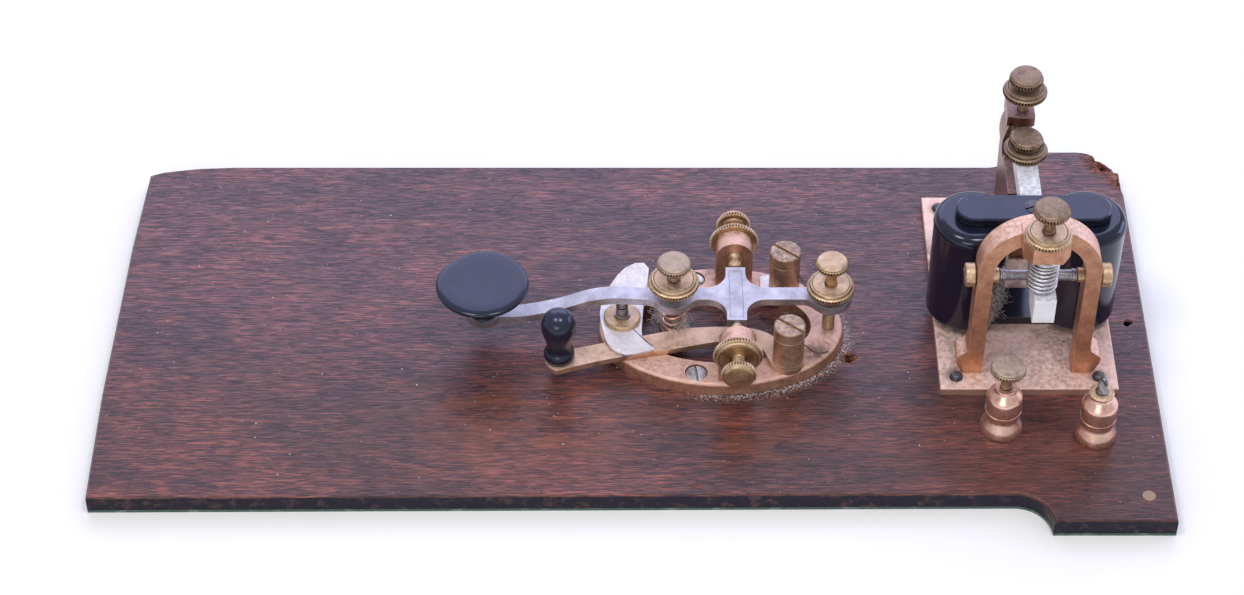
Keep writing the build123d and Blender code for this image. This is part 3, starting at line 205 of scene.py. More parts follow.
def wood_finish():
    """Stained mahogany under worn varnish: short streaks along the board, dark pores, bare wood at the rubs."""
    look = Look("stained_mahogany")
    streaks = look.mix(0.3, look.noise(0.8, 3, 0.6, (14, 1, 1)), look.noise(2.6, 3, 0.6, (12, 1, 1), shift=17.0))
    fibres = look.noise(0.45, 2, 0.6, (16, 1, 1), shift=3.0)
    pores = look.band(look.noise(0.42, 2, 0.5, (13, 1, 1), shift=13.0), 0.54, 0.59)
    clouds = look.noise(22, 4, 0.6, (2.4, 1, 1), shift=7.0)
    grain = look.mix(0.45, streaks, fibres)
    colour = look.ramp(grain, (0.41, (0.050, 0.018, 0.024)), (0.47, (0.095, 0.033, 0.036)),
                       (0.53, (0.180, 0.058, 0.050)), (0.60, (0.30, 0.100, 0.074)))
    colour = look.mix(look.math("MULTIPLY", pores, 0.75), colour, (0.018, 0.009, 0.016))
    # Painted reflection: the far part of the board is tinted bluish-violet for the sheen of the back light on the
    # varnish, and the near part is warmed slightly.
    far_side = look.band(look.along("Y"), -50 * MM, 20 * MM)
    far_side_sheen_tint = look.mix(far_side, (1.0, 0.95, 0.92), (0.96, 1.08, 1.35))
    colour = look.mix(1.0, colour, far_side_sheen_tint, "MULTIPLY")
    tone = look.mix(look.band(clouds, 0.38, 0.64), (0.60, 0.60, 0.70), (1.16, 1.04, 1.0))
    colour = look.mix(1.0, colour, tone, "MULTIPLY")
    rub = look.spot((-38, -52, 7.7), 62, 58, (1.5, 0.62, 1))
    rub_near_key = look.spot((45, -55, 7.7), 30, 28, (1.5, 0.8, 1))
    rub_near_posts = look.spot((140, -62, 7.7), 60, 55, (1.6, 0.6, 1))
    warm = look.math("MAXIMUM", rub, look.math("MULTIPLY", rub_near_posts, 0.8))
    warm = look.math("MAXIMUM", warm, rub_near_key)
    warm = look.math("MULTIPLY", warm, look.band(look.noise(6, 5, 0.65, (3, 1, 1), shift=5), 0.38, 0.62))
    colour = look.mix(look.math("MULTIPLY", warm, 0.34), colour, (0.30, 0.085, 0.028))
    near_right = look.math("MULTIPLY", look.band(look.along("X"), -20 * MM, 90 * MM),
                           look.math("SUBTRACT", 1.0, look.band(look.along("Y"), -60 * MM, 20 * MM)))
    colour = look.mix(look.math("MULTIPLY", near_right, 0.3), colour, (0.030, 0.012, 0.014))
    specks = look.band(look.noise(1.1, 2, 0.5, shift=11.0), 0.745, 0.77)
    colour = look.mix(look.math("MULTIPLY", specks, 0.55), colour, (0.68, 0.60, 0.62))
    around_key = look.spot((32.8, -5, 7.7), 49, 4, (1, 0.7, 1))
    right_and_near = look.band(look.math("SUBTRACT", look.along("X"), look.along("Y")), 45 * MM, 75 * MM)
    settled = look.math("MULTIPLY", look.band(look.noise(1.0, 4, 0.7, shift=21.0), 0.46, 0.66), right_and_near)
    colour = look.mix(look.math("MULTIPLY", look.math("MULTIPLY", around_key, settled), 0.75), colour,
                      (0.50, 0.44, 0.45))
    height = look.along("Z")
    rim = look.band(height, BOARD_TOP - 0.75 * MM, BOARD_TOP - 0.35 * MM)
    chips = look.noise(5, 5, 0.7, shift=2.0)
    black = look.mix(look.band(chips, 0.5, 0.66), (0.014, 0.011, 0.022), (0.075, 0.042, 0.045))
    colour = look.mix(rim, black, colour)
    on_rim = look.math("MULTIPLY", look.edges(0.7), look.band(height, BOARD_TOP - 1.0 * MM, BOARD_TOP - 0.6 * MM))
    worn = look.math("MULTIPLY", on_rim, look.band(look.noise(11, 4, 0.65, shift=9.0), 0.5, 0.6))
    colour = look.mix(look.math("MULTIPLY", worn, 0.7), colour, (0.36, 0.14, 0.065))
    broken = look.math("MAXIMUM", look.spot((182, 86.5, 7), 11, 4.5), look.spot((186, 76, 7), 6.5, 2.5))
    broken = look.math("MAXIMUM", broken, look.spot((78.1, -16.3, 7), 4.0, 1.6))
    bare = look.math("MULTIPLY", broken, look.band(look.noise(2.6, 5, 0.7, shift=4.0), 0.38, 0.45))
    splinters = look.ramp(look.noise(0.8, 4, 0.7, (5, 1, 1)), (0.38, (0.045, 0.014, 0.012)),
                          (0.5, (0.19, 0.060, 0.040)), (0.66, (0.42, 0.19, 0.13)))
    colour = look.mix(bare, colour, splinters)
    rough = look.mix(look.noise(3, 5, 0.7), (0.24, 0.24, 0.24), (0.46, 0.46, 0.46))
    rough = look.mix(bare, rough, (0.85, 0.85, 0.85))
    shine = look.mix(rim, (0.15, 0.15, 0.15), (0.6, 0.6, 0.6))
    normal = look.bump(grain, 0.10)
    normal = look.bump(look.math("MULTIPLY", pores, -1.0), 0.06, normal)
    normal = look.bump(look.math("MULTIPLY", bare, -1.0), 0.3, normal)
    return look.finish(colour, rough, 0.0, normal, Specular_IOR_Level=shine)


def baize():
    """Green felt under the board, matted and pale with lint."""
    look = Look("green_baize")
    fuzz = look.noise(0.35, 5, 0.8)
    patches = look.noise(9, 4, 0.6)
    colour = look.ramp(fuzz, (0.3, (0.012, 0.040, 0.026)), (0.5, (0.03, 0.085, 0.060)),
                       (0.7, (0.16, 0.24, 0.21)))
    colour = look.mix(look.band(patches, 0.52, 0.65), colour, (0.16, 0.21, 0.20))
    return look.finish(colour, 0.97, 0.0, look.bump(fuzz, 0.25), Sheen_Weight=0.3)


def metal(name, deep, base, pale, rough=(0.3, 0.5), grain_mm=0.5, patch_mm=5.0, dust_and_sheen=0.3, metallic=0.9,
          edge_wear_and_glint=None, dust_and_sheen_colour=(0.55, 0.47, 0.46), bump_mm=0.03, stains=(), groove_dirt_and_shade=0.0, corner_dirt_and_shade=0.45, engraved=None):
    """Aged metal: mottled patina; brighter edges, partly worn metal and partly painted edge highlight; a lighter film
    on the faces that look up, partly dusty and partly painted top sheen; and darkening in corners, gaps and knurl
    valleys, partly dirt and partly painted shade.
    stains are (centre, radius) in millimetres; engraved is the (centre, half size) of a scribed rectangle."""
    look = Look(name)
    patches = look.noise(patch_mm, 5, 0.62)
    fine = look.noise(grain_mm, 5, 0.72, shift=2.0)
    field = look.mix(0.42, patches, fine)
    colour = look.ramp(field, (0.36, deep), (0.5, base), (0.64, pale))
    # Brighter edges: partly worn metal, partly painted edge highlight, such as the near-white edge colour on the
    # bridge casting.
    if edge_wear_and_glint:
        colour = look.mix(look.math("MULTIPLY", look.edges(0.35), 0.7), colour, edge_wear_and_glint)
    # Lighter film on the faces that look up: partly settled dirt, partly a painted top sheen for the light those
    # faces reflect.
    settled = look.math("MULTIPLY", look.upness(), look.band(look.noise(1.6, 5, 0.7, shift=6.0), 0.25, 0.7))
    settled = look.math("MULTIPLY", settled, dust_and_sheen)
    colour = look.mix(settled, colour, dust_and_sheen_colour)
    pits = look.band(look.noise(0.9, 2, 0.5, shift=8.0), 0.72, 0.76)
    # Painted shade: occlusion darkens corners, recesses and gaps between parts, and pointiness darkens knurl valleys;
    # this is partly dirt and partly painted shade. Pits, scribed lines and stains are real marks.
    corners = look.math("MULTIPLY", look.crevice(1.0), corner_dirt_and_shade)
    grime_and_shade = look.math("MAXIMUM", look.math("MULTIPLY", pits, 0.55), corners)
    if groove_dirt_and_shade:
        grime_and_shade = look.math("MAXIMUM", grime_and_shade, look.math("MULTIPLY", look.groove(), groove_dirt_and_shade))
    if engraved:
        grime_and_shade = look.math("MAXIMUM", grime_and_shade, look.math("MULTIPLY", look.scribed_frame(*engraved), 0.4))
    for centre, radius in stains:
        ragged = look.math("MULTIPLY", look.spot(centre, radius, radius * 0.8), look.band(patches, 0.36, 0.56))
        grime_and_shade = look.math("MAXIMUM", grime_and_shade, look.math("MULTIPLY", ragged, 0.75))
    colour = look.mix(grime_and_shade, colour, [v * 0.35 for v in deep])
    shine = look.mix(fine, (rough[0],) * 3, (rough[1],) * 3)
    shine = look.mix(settled, shine, (0.75, 0.75, 0.75))
    metalness = look.math("MULTIPLY", look.math("SUBTRACT", 1.0, look.math("MULTIPLY", settled, 0.8)), metallic)
    return look.finish(colour, shine, metalness, look.bump(fine, bump_mm))


def black_gloss(name, base=(0.010, 0.011, 0.018), sheen_and_dust_veil=(0.055, 0.06, 0.12), dust_and_sheen=0.5, rough=0.22, lint=None):
    """Polished hard rubber or enamel: near black, with a bluish film on the faces that look up, partly dusty and
    partly painted sheen, painted bluish edge highlights and pale dusty specks.
    lint is the middle, in millimetres, of a patch where grey fluff clings."""
    look = Look(name)
    film = look.noise(6, 4, 0.6)
    specks = look.band(look.noise(0.7, 3, 0.6, shift=3.0), 0.70, 0.74)
    up = look.upness()
    # Bluish film on up-facing faces: partly a dusty film, partly the painted sheen of the bluish back light.
    share = look.math("MULTIPLY", up, look.band(film, 0.1, 0.75))
    colour = look.mix(look.math("MULTIPLY", share, dust_and_sheen), base, sheen_and_dust_veil)
    colour = look.mix(look.math("MULTIPLY", look.math("MULTIPLY", up, specks), 0.5), colour, (0.35, 0.34, 0.38))
    # Painted edge highlight: bluish light along the edges, broken up by noise.
    painted_edge_highlight = look.math("MULTIPLY", look.edges(0.45), look.band(look.noise(5, 4, 0.65, shift=12.0), 0.36, 0.56))
    colour = look.mix(look.math("MULTIPLY", painted_edge_highlight, 0.55), colour, (0.20, 0.22, 0.36))
    scuffs = look.noise(0.9, 5, 0.75, (6, 1, 1), shift=5.0)
    shine = look.mix(scuffs, (rough * 0.7,) * 3, (rough * 1.5,) * 3)
    if lint:
        fluff = look.band(look.noise(0.8, 5, 0.75, (1, 1, 3), 1.2, shift=9.0), 0.40, 0.58)
        patch = look.math("MULTIPLY", look.spot(lint, 13, 9, (0.55, 0.8, 1.35)), fluff)
        colour = look.mix(patch, colour, (0.30, 0.265, 0.24))
        shine = look.mix(patch, shine, (0.9, 0.9, 0.9))
    return look.finish(colour, shine, 0.0, look.bump(scuffs, 0.006), Specular_IOR_Level=0.5,
                       Specular_Tint=(0.80, 0.84, 1.0, 1.0))


def fibre(name, base, pale):
    """Pressed fibre or plain painted stock with a fine tooth."""
    look = Look(name)
    tooth = look.noise(0.6, 5, 0.7)
    return look.finish(look.mix(tooth, base, pale), 0.7, 0.0, look.bump(tooth, 0.04))


def magnet_wire():
    """Close turns of enamelled copper wire round an upright bobbin."""
    look = Look("magnet_wire")
    turns = look.node("ShaderNodeTexWave", wave_type="BANDS", bands_direction="Z")
    look.feed(turns.inputs["Vector"], look.place)
    turns.inputs["Scale"].default_value = 1 / (0.45 * MM) / 6.28
    turns.inputs["Distortion"].default_value = 0.6
    colour = look.ramp(turns.outputs["Fac"], (0.0, (0.05, 0.012, 0.006)), (1.0, (0.42, 0.14, 0.06)))
    return look.finish(colour, 0.35, 0.5, look.bump(turns.outputs["Fac"], 0.12))


LOOKS = {
    "wood": wood_finish(),
    "plug": fibre("plug_wood", (0.2, 0.12, 0.08), (0.46, 0.33, 0.24)),
    "baize": baize(),
    "casting": metal("cast_bronze", (0.42, 0.20, 0.12), (0.59, 0.305, 0.185), (0.72, 0.41, 0.27),
                     (0.32, 0.52), 0.6, 4.0, 0.85, 0.85, (0.84, 0.52, 0.36), (1.0, 0.74, 0.69)),
    "ring_casting": metal("ring_bronze", (0.36, 0.19, 0.12), (0.66, 0.37, 0.25), (0.82, 0.52, 0.38),
                          (0.32, 0.52), 0.6, 4.0, 0.85, 0.80, (0.88, 0.60, 0.44), (0.80, 0.56, 0.53),
                          stains=[((10, -4, 12), 9), ((32, 20, 12), 8), ((66, -18, 12), 8)]),
    # Painted shade: the anvil bridge takes a darkened copy of the bronze casting for the shade it stands in, and its
    # near-white edge colour is a painted edge highlight.
    "shade_darkened_casting": metal("shade_darkened_bronze", (0.15, 0.068, 0.042), (0.225, 0.105, 0.065), (0.31, 0.155, 0.105),
                          (0.26, 0.44), 0.6, 4.0, 0.7, 0.85, (0.95, 0.82, 0.76), (0.46, 0.33, 0.34)),
    "plate": metal("plate_bronze", (0.56, 0.34, 0.24), (0.69, 0.45, 0.34), (0.79, 0.55, 0.44),
                   (0.32, 0.52), 0.45, 6.0, 0.8, 0.75, (0.88, 0.62, 0.46), (1.0, 0.76, 0.72),
                   stains=[((115, -27, 11), 6), ((166, -28.5, 11), 5), ((115.5, 57.5, 11), 5),
                           ((111, 25, 11), 24), ((140.6, 15, 11), 13)]),
    "brass": metal("turned_brass", (0.24, 0.14, 0.07), (0.52, 0.35, 0.19), (0.72, 0.53, 0.35),
                   (0.24, 0.42), 0.5, 4.0, 0.6, 0.9, (0.80, 0.60, 0.38), (0.64, 0.46, 0.38),
                   groove_dirt_and_shade=0.9),
    "dark_brass": metal("dull_brass", (0.10, 0.060, 0.036), (0.25, 0.16, 0.10), (0.40, 0.275, 0.19),
                        (0.28, 0.46), 0.5, 3.5, 0.55, 0.9, (0.52, 0.37, 0.24), (0.32, 0.235, 0.205),
                        groove_dirt_and_shade=0.9),
    "dusty_brass": metal("dusty_brass", (0.19, 0.12, 0.07), (0.40, 0.275, 0.18), (0.58, 0.43, 0.30),
                         (0.28, 0.46), 0.5, 3.5, 0.85, 0.85, (0.64, 0.49, 0.34), (0.47, 0.38, 0.345),
                         groove_dirt_and_shade=0.9),
    "strip_brass": metal("strip_brass", (0.38, 0.22, 0.13), (0.66, 0.44, 0.29), (0.84, 0.62, 0.46),
                         (0.28, 0.46), 0.5, 5.0, 0.7, 0.85, (0.88, 0.66, 0.46), (0.86, 0.62, 0.54)),
    "terminal": metal("terminal_brass", (0.36, 0.23, 0.14), (0.64, 0.44, 0.29), (0.80, 0.60, 0.44),
                      (0.24, 0.42), 0.5, 3.0, 1.0, 0.85, (0.78, 0.58, 0.38), (0.21, 0.155, 0.17),
                      groove_dirt_and_shade=0.6),
    "copper": metal("post_copper", (0.66, 0.37, 0.26), (0.86, 0.55, 0.43), (0.93, 0.66, 0.55),
                    (0.22, 0.36), 1.4, 6.0, 0.08, 0.95, None, (0.6, 0.42, 0.38), 0.004, corner_dirt_and_shade=0.12),
    "steel": metal("lever_steel", (0.22, 0.20, 0.22), (0.45, 0.43, 0.49), (0.66, 0.64, 0.72),
                   (0.25, 0.45), 0.5, 6.0, 0.5, 0.85, (0.75, 0.74, 0.8), (0.57, 0.55, 0.68),
                   engraved=((37.8, -5.0), (2.3, 11.4))),
    "alloy": metal("light_alloy", (0.78, 0.76, 0.79), (0.90, 0.89, 0.92), (0.97, 0.97, 1.0),
                   (0.35, 0.55), 0.35, 6.0, 0.7, 0.35, (1.0, 1.0, 1.0), (0.30, 0.295, 0.335)),
    "blued": metal("blued_steel", (0.02, 0.02, 0.028), (0.05, 0.05, 0.07), (0.12, 0.11, 0.13),
                   (0.22, 0.40), 0.5, 3.0, 0.3, 0.8, (0.2, 0.19, 0.22), (0.3, 0.28, 0.3)),
    "iron": metal("soft_iron", (0.10, 0.09, 0.09), (0.2, 0.19, 0.2), (0.34, 0.33, 0.35),
                  (0.35, 0.5), 0.5, 4.0, 0.3, 0.85),
    "grey_steel": metal("grey_steel", (0.10, 0.09, 0.10), (0.28, 0.265, 0.285), (0.50, 0.48, 0.51),
                        (0.26, 0.44), 0.5, 3.0, 0.3, 0.9, (0.6, 0.58, 0.62), (0.40, 0.38, 0.42)),
    # Strong corner darkening on the springs paints the shade between their coils.
    "spring_steel": metal("spring_steel", (0.32, 0.3, 0.32), (0.58, 0.56, 0.58), (0.8, 0.78, 0.8),
                          (0.2, 0.34), 0.5, 3.0, 0.1, 0.95, corner_dirt_and_shade=0.95),
    "spring_bronze": metal("spring_bronze", (0.52, 0.27, 0.2), (0.82, 0.50, 0.40), (0.95, 0.68, 0.58),
                           (0.22, 0.36), 0.5, 3.0, 0.1, 0.95, corner_dirt_and_shade=0.95),
    "screw_steel": metal("screw_steel", (0.25, 0.24, 0.25), (0.5, 0.49, 0.5), (0.74, 0.73, 0.75),
                         (0.2, 0.38), 0.5, 3.0, 0.35, 0.92),
    "nickel": metal("nickel_silver", (0.48, 0.46, 0.46), (0.72, 0.69, 0.71), (0.88, 0.85, 0.88),
                    (0.30, 0.46), 0.5, 5.0, 0.8, 0.75, (0.95, 0.93, 0.97), (0.92, 0.86, 0.96)),
    "rubber": black_gloss("black_rubber", sheen_and_dust_veil=(0.030, 0.033, 0.10), dust_and_sheen=0.3, rough=0.15),
    "shell": black_gloss("coil_shell_black", (0.012, 0.009, 0.022), (0.05, 0.05, 0.09), 0.3, 0.15,
                         lint=(131.0, -4.5, 23.0)),
    "handle": black_gloss("handle_rubber", (0.012, 0.013, 0.026), (0.036, 0.041, 0.11), 0.35, 0.19),
    "cap": black_gloss("coil_cap_black", (0.008, 0.009, 0.017), (0.030, 0.033, 0.09), 0.2, 0.12),
    "enamel": black_gloss("armature_enamel", (0.010, 0.011, 0.020), (0.035, 0.038, 0.10), 0.4, 0.18),
    "fibre": fibre("black_fibre", (0.012, 0.011, 0.012), (0.05, 0.045, 0.045)),
    "wire": fibre("lead_wire_cover", (0.05, 0.035, 0.03), (0.12, 0.09, 0.08)),
    "lint": fibre("grey_lint", (0.42, 0.38, 0.35), (0.74, 0.68, 0.64)),
    "grit": fibre("pale_grit", (0.60, 0.55, 0.53), (0.92, 0.90, 0.90)),
    "magnet_wire": magnet_wire(),
}

NODE_LOOKS = {
    "wood": ["baseboard"],
    "plug": ["hole_plug"],
    "baize": ["felt_pad"],
    "casting": ["arch_frame"],
    "ring_casting": ["key_base"],
    "shade_darkened_casting": ["anvil_bridge"],
    "plate": ["sounder_plate"],
    "dusty_brass": ["key_tension_screw", "post_thumbscrew"],
    "brass": ["gap_screw", "gap_locknut", "key_tension_locknut",
              "trunnion_screw_near", "trunnion_screw_far", "trunnion_locknut_near",
              "trunnion_locknut_far", "anvil_disc", "pivot_screw_left", "pivot_screw_right",
              "sounder_tension_locknut", "post_stud_nuts"],
    "dark_brass": ["sounder_tension_screw", "down_stop_screw", "down_stop_locknut", "up_stop_screw",
                   "up_stop_locknut"],
    "strip_brass": ["closer_arm", "closer_rivets"],
    "terminal": ["terminal_near", "terminal_far", "terminal_screw_near", "terminal_screw_far"],
    "copper": ["binding_posts"],
    "steel": ["key_lever"],
    "grey_steel": ["pivot_arbor", "post_stub_screw", "lever_contact", "anvil_contact"],
    "alloy": ["sounder_lever"],
    "blued": ["plate_screws", "armature_screw"],
    "iron": ["magnet_cores"],
    "spring_steel": ["sounder_spring", "spring_cup"],
    "spring_bronze": ["key_spring"],
    "screw_steel": ["key_base_screws", "under_plate_screws", "knob_screw"],
    "nickel": ["closer_clip", "terminal_strap"],
    "rubber": ["key_knob"],
    "handle": ["closer_handle"],
    "cap": ["coil_caps", "heel_iron"],
    "shell": ["coil_shells"],
    "enamel": ["armature"],
    "fibre": ["anvil_insulator", "coil_bobbins"],
    "wire": ["key_lead"],
    "magnet_wire": ["coil_windings"],
}

look_of = {}
for look_name, node_names in NODE_LOOKS.items():
    for node_name in node_names:
        look_of[node_name] = look_name
        slots = nodes[node_name].data.materials
        slots.clear()
        slots.append(LOOKS[look_name])


# ------------------------------------------------------------------ finer pieces
def smooth_shading(mesh, degrees=38):
    for polygon in mesh.polygons:
        polygon.use_smooth = True
    mesh.set_sharp_from_angle(angle=math.radians(degrees))


def new_piece(name, points, faces, look, body, stands_for=()):
    """Mesh piece in the shared frame that rides on a body and may stand for CAD nodes."""
    mesh = bpy.data.meshes.new(name)
    mesh.from_pydata(points, [], faces)
    mesh.validate()
    mesh.materials.append(LOOKS[look])
    smooth_shading(mesh)
    piece = bpy.data.objects.new(name, mesh)
    bpy.context.scene.collection.objects.link(piece)
    if body:
        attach(piece, body)
    if stands_for:
        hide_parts(*stands_for)
    return piece


def carved(piece, *cutters, sharp_degrees=38):
    """Cuts closed meshes, given as (points, faces), out of a piece."""
    for points, faces in cutters:
        mesh = bpy.data.meshes.new("cutter")
        mesh.from_pydata(points, [], faces)
        cutter = bpy.data.objects.new("cutter", mesh)
        bpy.context.scene.collection.objects.link(cutter)
        cut = piece.modifiers.new("cut", "BOOLEAN")
        cut.operation = "DIFFERENCE"
        cut.solver = "EXACT"
        cut.object = cutter
        shaped = bpy.data.meshes.new_from_object(piece.evaluated_get(bpy.context.evaluated_depsgraph_get()))
        piece.modifiers.clear()
        piece.data = shaped
        bpy.data.objects.remove(cutter)
    smooth_shading(piece.data, sharp_degrees)
    return piece


# An outline is a list of (radius, height, cut) rows in millimetres, where cut gives the depth
# taken off the radius at each angle.
def uncut(angle):
    return 0.0


def turned_mesh(outline, start, axis, segments, hollow=False):
    """Revolves an outline about an axis; angles run from +X, or from +Z when the axis is level."""
    up = Vector(axis).normalized()
    side = Vector((1, 0, 0)) if abs(up.z) > 0.9 else Vector((0, 0, 1))
    front = up.cross(side)
    base = Vector(start)
    points, faces = [], []
    for radius, height, cut in outline:
        for k in range(segments):
            angle = 2 * math.pi * k / segments
            reach = max(radius - cut(angle), 0.02) * MM
            points.append(base + up * height * MM + (side * math.cos(angle) + front * math.sin(angle)) * reach)
    rings = len(outline)
    for i in range(rings if hollow else rings - 1):
        for k in range(segments):
            a = i * segments + k
            b = i * segments + (k + 1) % segments
            above = (i + 1) % rings * segments - i * segments
            faces.append((a, b, b + above, a + above))
    if not hollow:
        faces.append(tuple(reversed(range(segments))))
        faces.append(tuple((rings - 1) * segments + k for k in range(segments)))
    return points, faces


def plain(radius, height):
    return radius, height, uncut


def knurled(radius, height, teeth, depth=0.7):
    return radius, height, lambda angle: depth * 0.5 * (1 - math.cos(teeth * angle))


def thread(radius, start, end, pitch=0.8, depth=0.22):
    """Rows of a screw thread: one groove round the shank that climbs with height."""
    steps = max(2, round((end - start) / pitch * 5))
    rows = []
    for k in range(steps + 1):
        height = start + (end - start) * k / steps
        turn = 2 * math.pi * height / pitch
        rows.append((radius, height, lambda angle, turn=turn: depth * 0.5 * (1 - math.cos(angle + turn))))
    return rows


def cross_hatched(radius, start, end, teeth, depth=0.12):
    """Rows of a diamond knurl: two sets of grooves that cross."""
    pitch = 2 * math.pi * radius / teeth
    steps = max(2, round((end - start) / pitch * 4))
    rows = []
    for k in range(steps + 1):
        height = start + (end - start) * k / steps
        turn = 2 * math.pi * (height - start) / (2 * pitch)

        def cut(angle, turn=turn):
            left = math.cos(teeth * angle / 2 + turn)
            right = math.cos(teeth * angle / 2 - turn)
            return depth * (1 - abs(left * right))
        rows.append((radius, height, cut))
    return rows


def smooth_outline(*knots, steps=5):
    """Plain rows on a smooth curve through (radius, height) knots."""
    rows = []
    ends = [knots[0], *knots, knots[-1]]
    for k in range(len(knots) - 1):
        before, here, there, after = ends[k:k + 4]
        for i in range(steps):
            t = i / steps
            radius, height = (
                0.5 * (2 * b + (c - a) * t + (2 * a - 5 * b + 4 * c - d) * t ** 2
                       + (3 * b - a - 3 * c + d) * t ** 3)
                for a, b, c, d in zip(before, here, there, after))
            rows.append(plain(radius, height))
    rows.append(plain(*knots[-1]))
    return rows


KNURL_PITCH = 1.15


def screw_outline(shank, head_bottom, head_top, head, thread_end, bore=None):
    """Finger screw from its tip to its head: threaded shank, smooth neck and a rope-knurled head."""
    teeth = round(2 * math.pi * head / KNURL_PITCH)
    rows = []
    thread_start = 0.5
    if bore:
        bore_radius, bore_depth = bore
        rows += [plain(0.05, bore_depth), plain(bore_radius, bore_depth), plain(bore_radius, 0)]
        rows += smooth_outline((1.75, 0), (2.3, 0.7), (2.45, 1.8), (2.25, 2.9), (1.75, 3.8), (1.8, 4.8), (shank, 5.4))
        thread_start = 5.6
    else:
        rows += [plain(shank * 0.8, 0), plain(shank, 0.35)]
    rows += thread(shank, thread_start, thread_end)
    rows += smooth_outline((shank * 0.93, thread_end + 0.2), (shank * 0.9, head_bottom - 2.6),
                           (shank * 1.05, head_bottom - 1.5), (shank * 1.55, head_bottom - 0.7),
                           (head * 0.72, head_bottom - 0.15), (head * 0.9, head_bottom + 0.05), steps=3)
    height = head_top - head_bottom
    rows += [knurled(head * 0.965, head_bottom + 0.08 * height, teeth, 0.2),
             knurled(head, head_bottom + 0.22 * height, teeth),
             knurled(head * 1.005, head_bottom + 0.36 * height, teeth),
             knurled(head, head_bottom + 0.50 * height, teeth),
             knurled(head * 0.965, head_bottom + 0.62 * height, teeth, 0.2),
             plain(head * 0.925, head_bottom + 0.68 * height),
             plain(head * 0.90, head_bottom + 0.72 * height),
             plain(head * 0.90, head_bottom + 0.86 * height),
             plain(head * 0.86, head_bottom + 0.96 * height),
             plain(head * 0.78, head_top),
             plain(head * 0.45, head_top + 0.05),
             plain(0.05, head_top + 0.08)]
    return rows, teeth * 6


def nut_outline(height, bore, radius):
    """Locknut: rope-knurled lower rim, plain bead, and a flat upper face inside a shallow groove."""
    teeth = round(2 * math.pi * radius / KNURL_PITCH)
    rows = [plain(bore, 0), plain(radius * 0.9, 0), plain(radius * 0.95, 0.04 * height),
            knurled(radius * 0.975, 0.10 * height, teeth, 0.2),
            knurled(radius, 0.20 * height, teeth),
            knurled(radius * 1.004, 0.32 * height, teeth),
            knurled(radius, 0.44 * height, teeth),
            knurled(radius * 0.975, 0.54 * height, teeth, 0.2),
            plain(radius * 0.93, 0.60 * height),
            plain(radius * 0.885, 0.66 * height),
            plain(radius * 0.88, 0.84 * height),
            plain(radius * 0.85, 0.96 * height),
            plain(radius * 0.80, height), plain(radius * 0.79, height - 0.12),
            plain(radius * 0.76, height - 0.12), plain(radius * 0.75, height),
            plain(radius * 0.5, height), plain(bore * 1.1, height - 0.02),
            plain(bore, height - 0.12)]
    return rows, teeth * 6


def axis_frame(node, axis):
    """Start point and length in millimetres of a turned CAD node along its axis, from its own box."""
    low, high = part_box(node)
    middle = (low + high) / 2
    up = Vector(axis)
    reach = abs((high - low).dot(up)) / 2
    return middle - up * reach, 2 * reach / MM


def turned_node(node, outline, axis, segments, body, hollow=False):
    start, _ = axis_frame(node, axis)
    points, faces = turned_mesh(outline, start, axis, segments, hollow)
    return new_piece(node + "_turned", points, faces, look_of[node], body, [node])


UP = (0, 0, 1)
NEAR = (0, -1, 0)
FAR = (0, 1, 0)
LEFT = (-1, 0, 0)
RIGHT = (1, 0, 0)
# node: axis, head radius, head height, shank radius, length of thread from the tip, tip bore
FINGER_SCREWS = {
    "gap_screw": (UP, 5.9, 2.8, 2.2, 21.6, None),
    "key_tension_screw": (UP, 6.2, 2.6, 2.2, 20.5, None),
    "trunnion_screw_near": (NEAR, 6.15, 3.0, 2.6, 16.4, (1.35, 1.8)),
    "trunnion_screw_far": (FAR, 6.15, 3.0, 2.6, 16.4, (1.35, 1.8)),
    "sounder_tension_screw": (UP, 6.35, 3.0, 2.2, 12.0, None),
    "down_stop_screw": (UP, 6.1, 3.0, 2.2, 11.4, None),
    "up_stop_screw": (UP, 6.15, 3.0, 2.2, 14.2, None),
    "post_thumbscrew": (UP, 6.2, 3.0, 2.2, 7.0, None),
}
FINGER_NUTS = {
    "gap_locknut": (UP, 2.25, 8.6),
    "key_tension_locknut": (UP, 2.25, 9.1),
    "trunnion_locknut_near": (NEAR, 2.65, 8.8),
    "trunnion_locknut_far": (FAR, 2.65, 8.8),
    "sounder_tension_locknut": (UP, 2.25, 8.05),
    "down_stop_locknut": (UP, 2.25, 8.0),
    "up_stop_locknut": (UP, 2.25, 8.0),
}

for node, (axis, head, head_height, shank, thread_length, bore) in FINGER_SCREWS.items():
    length = axis_frame(node, axis)[1]
    rows, segments = screw_outline(shank, length - head_height, length, head, thread_length, bore)
    turned_node(node, rows, axis, segments, node + "_body")
for node, (axis, bore, radius) in FINGER_NUTS.items():
    rows, segments = nut_outline(axis_frame(node, axis)[1], bore, radius)
    turned_node(node, rows, axis, segments, node + "_body", hollow=True)


# ------------------------------------------------------------------ knob, terminals, posts and arbor
def worn_edge(depth, middle_deg, spread_deg):
    """A shallow flat worn into a rim round one direction."""
    def cut(angle):
        away = (math.degrees(angle) - middle_deg + 180) % 360 - 180
        return depth * math.exp(-(away / spread_deg) ** 2)
    return cut


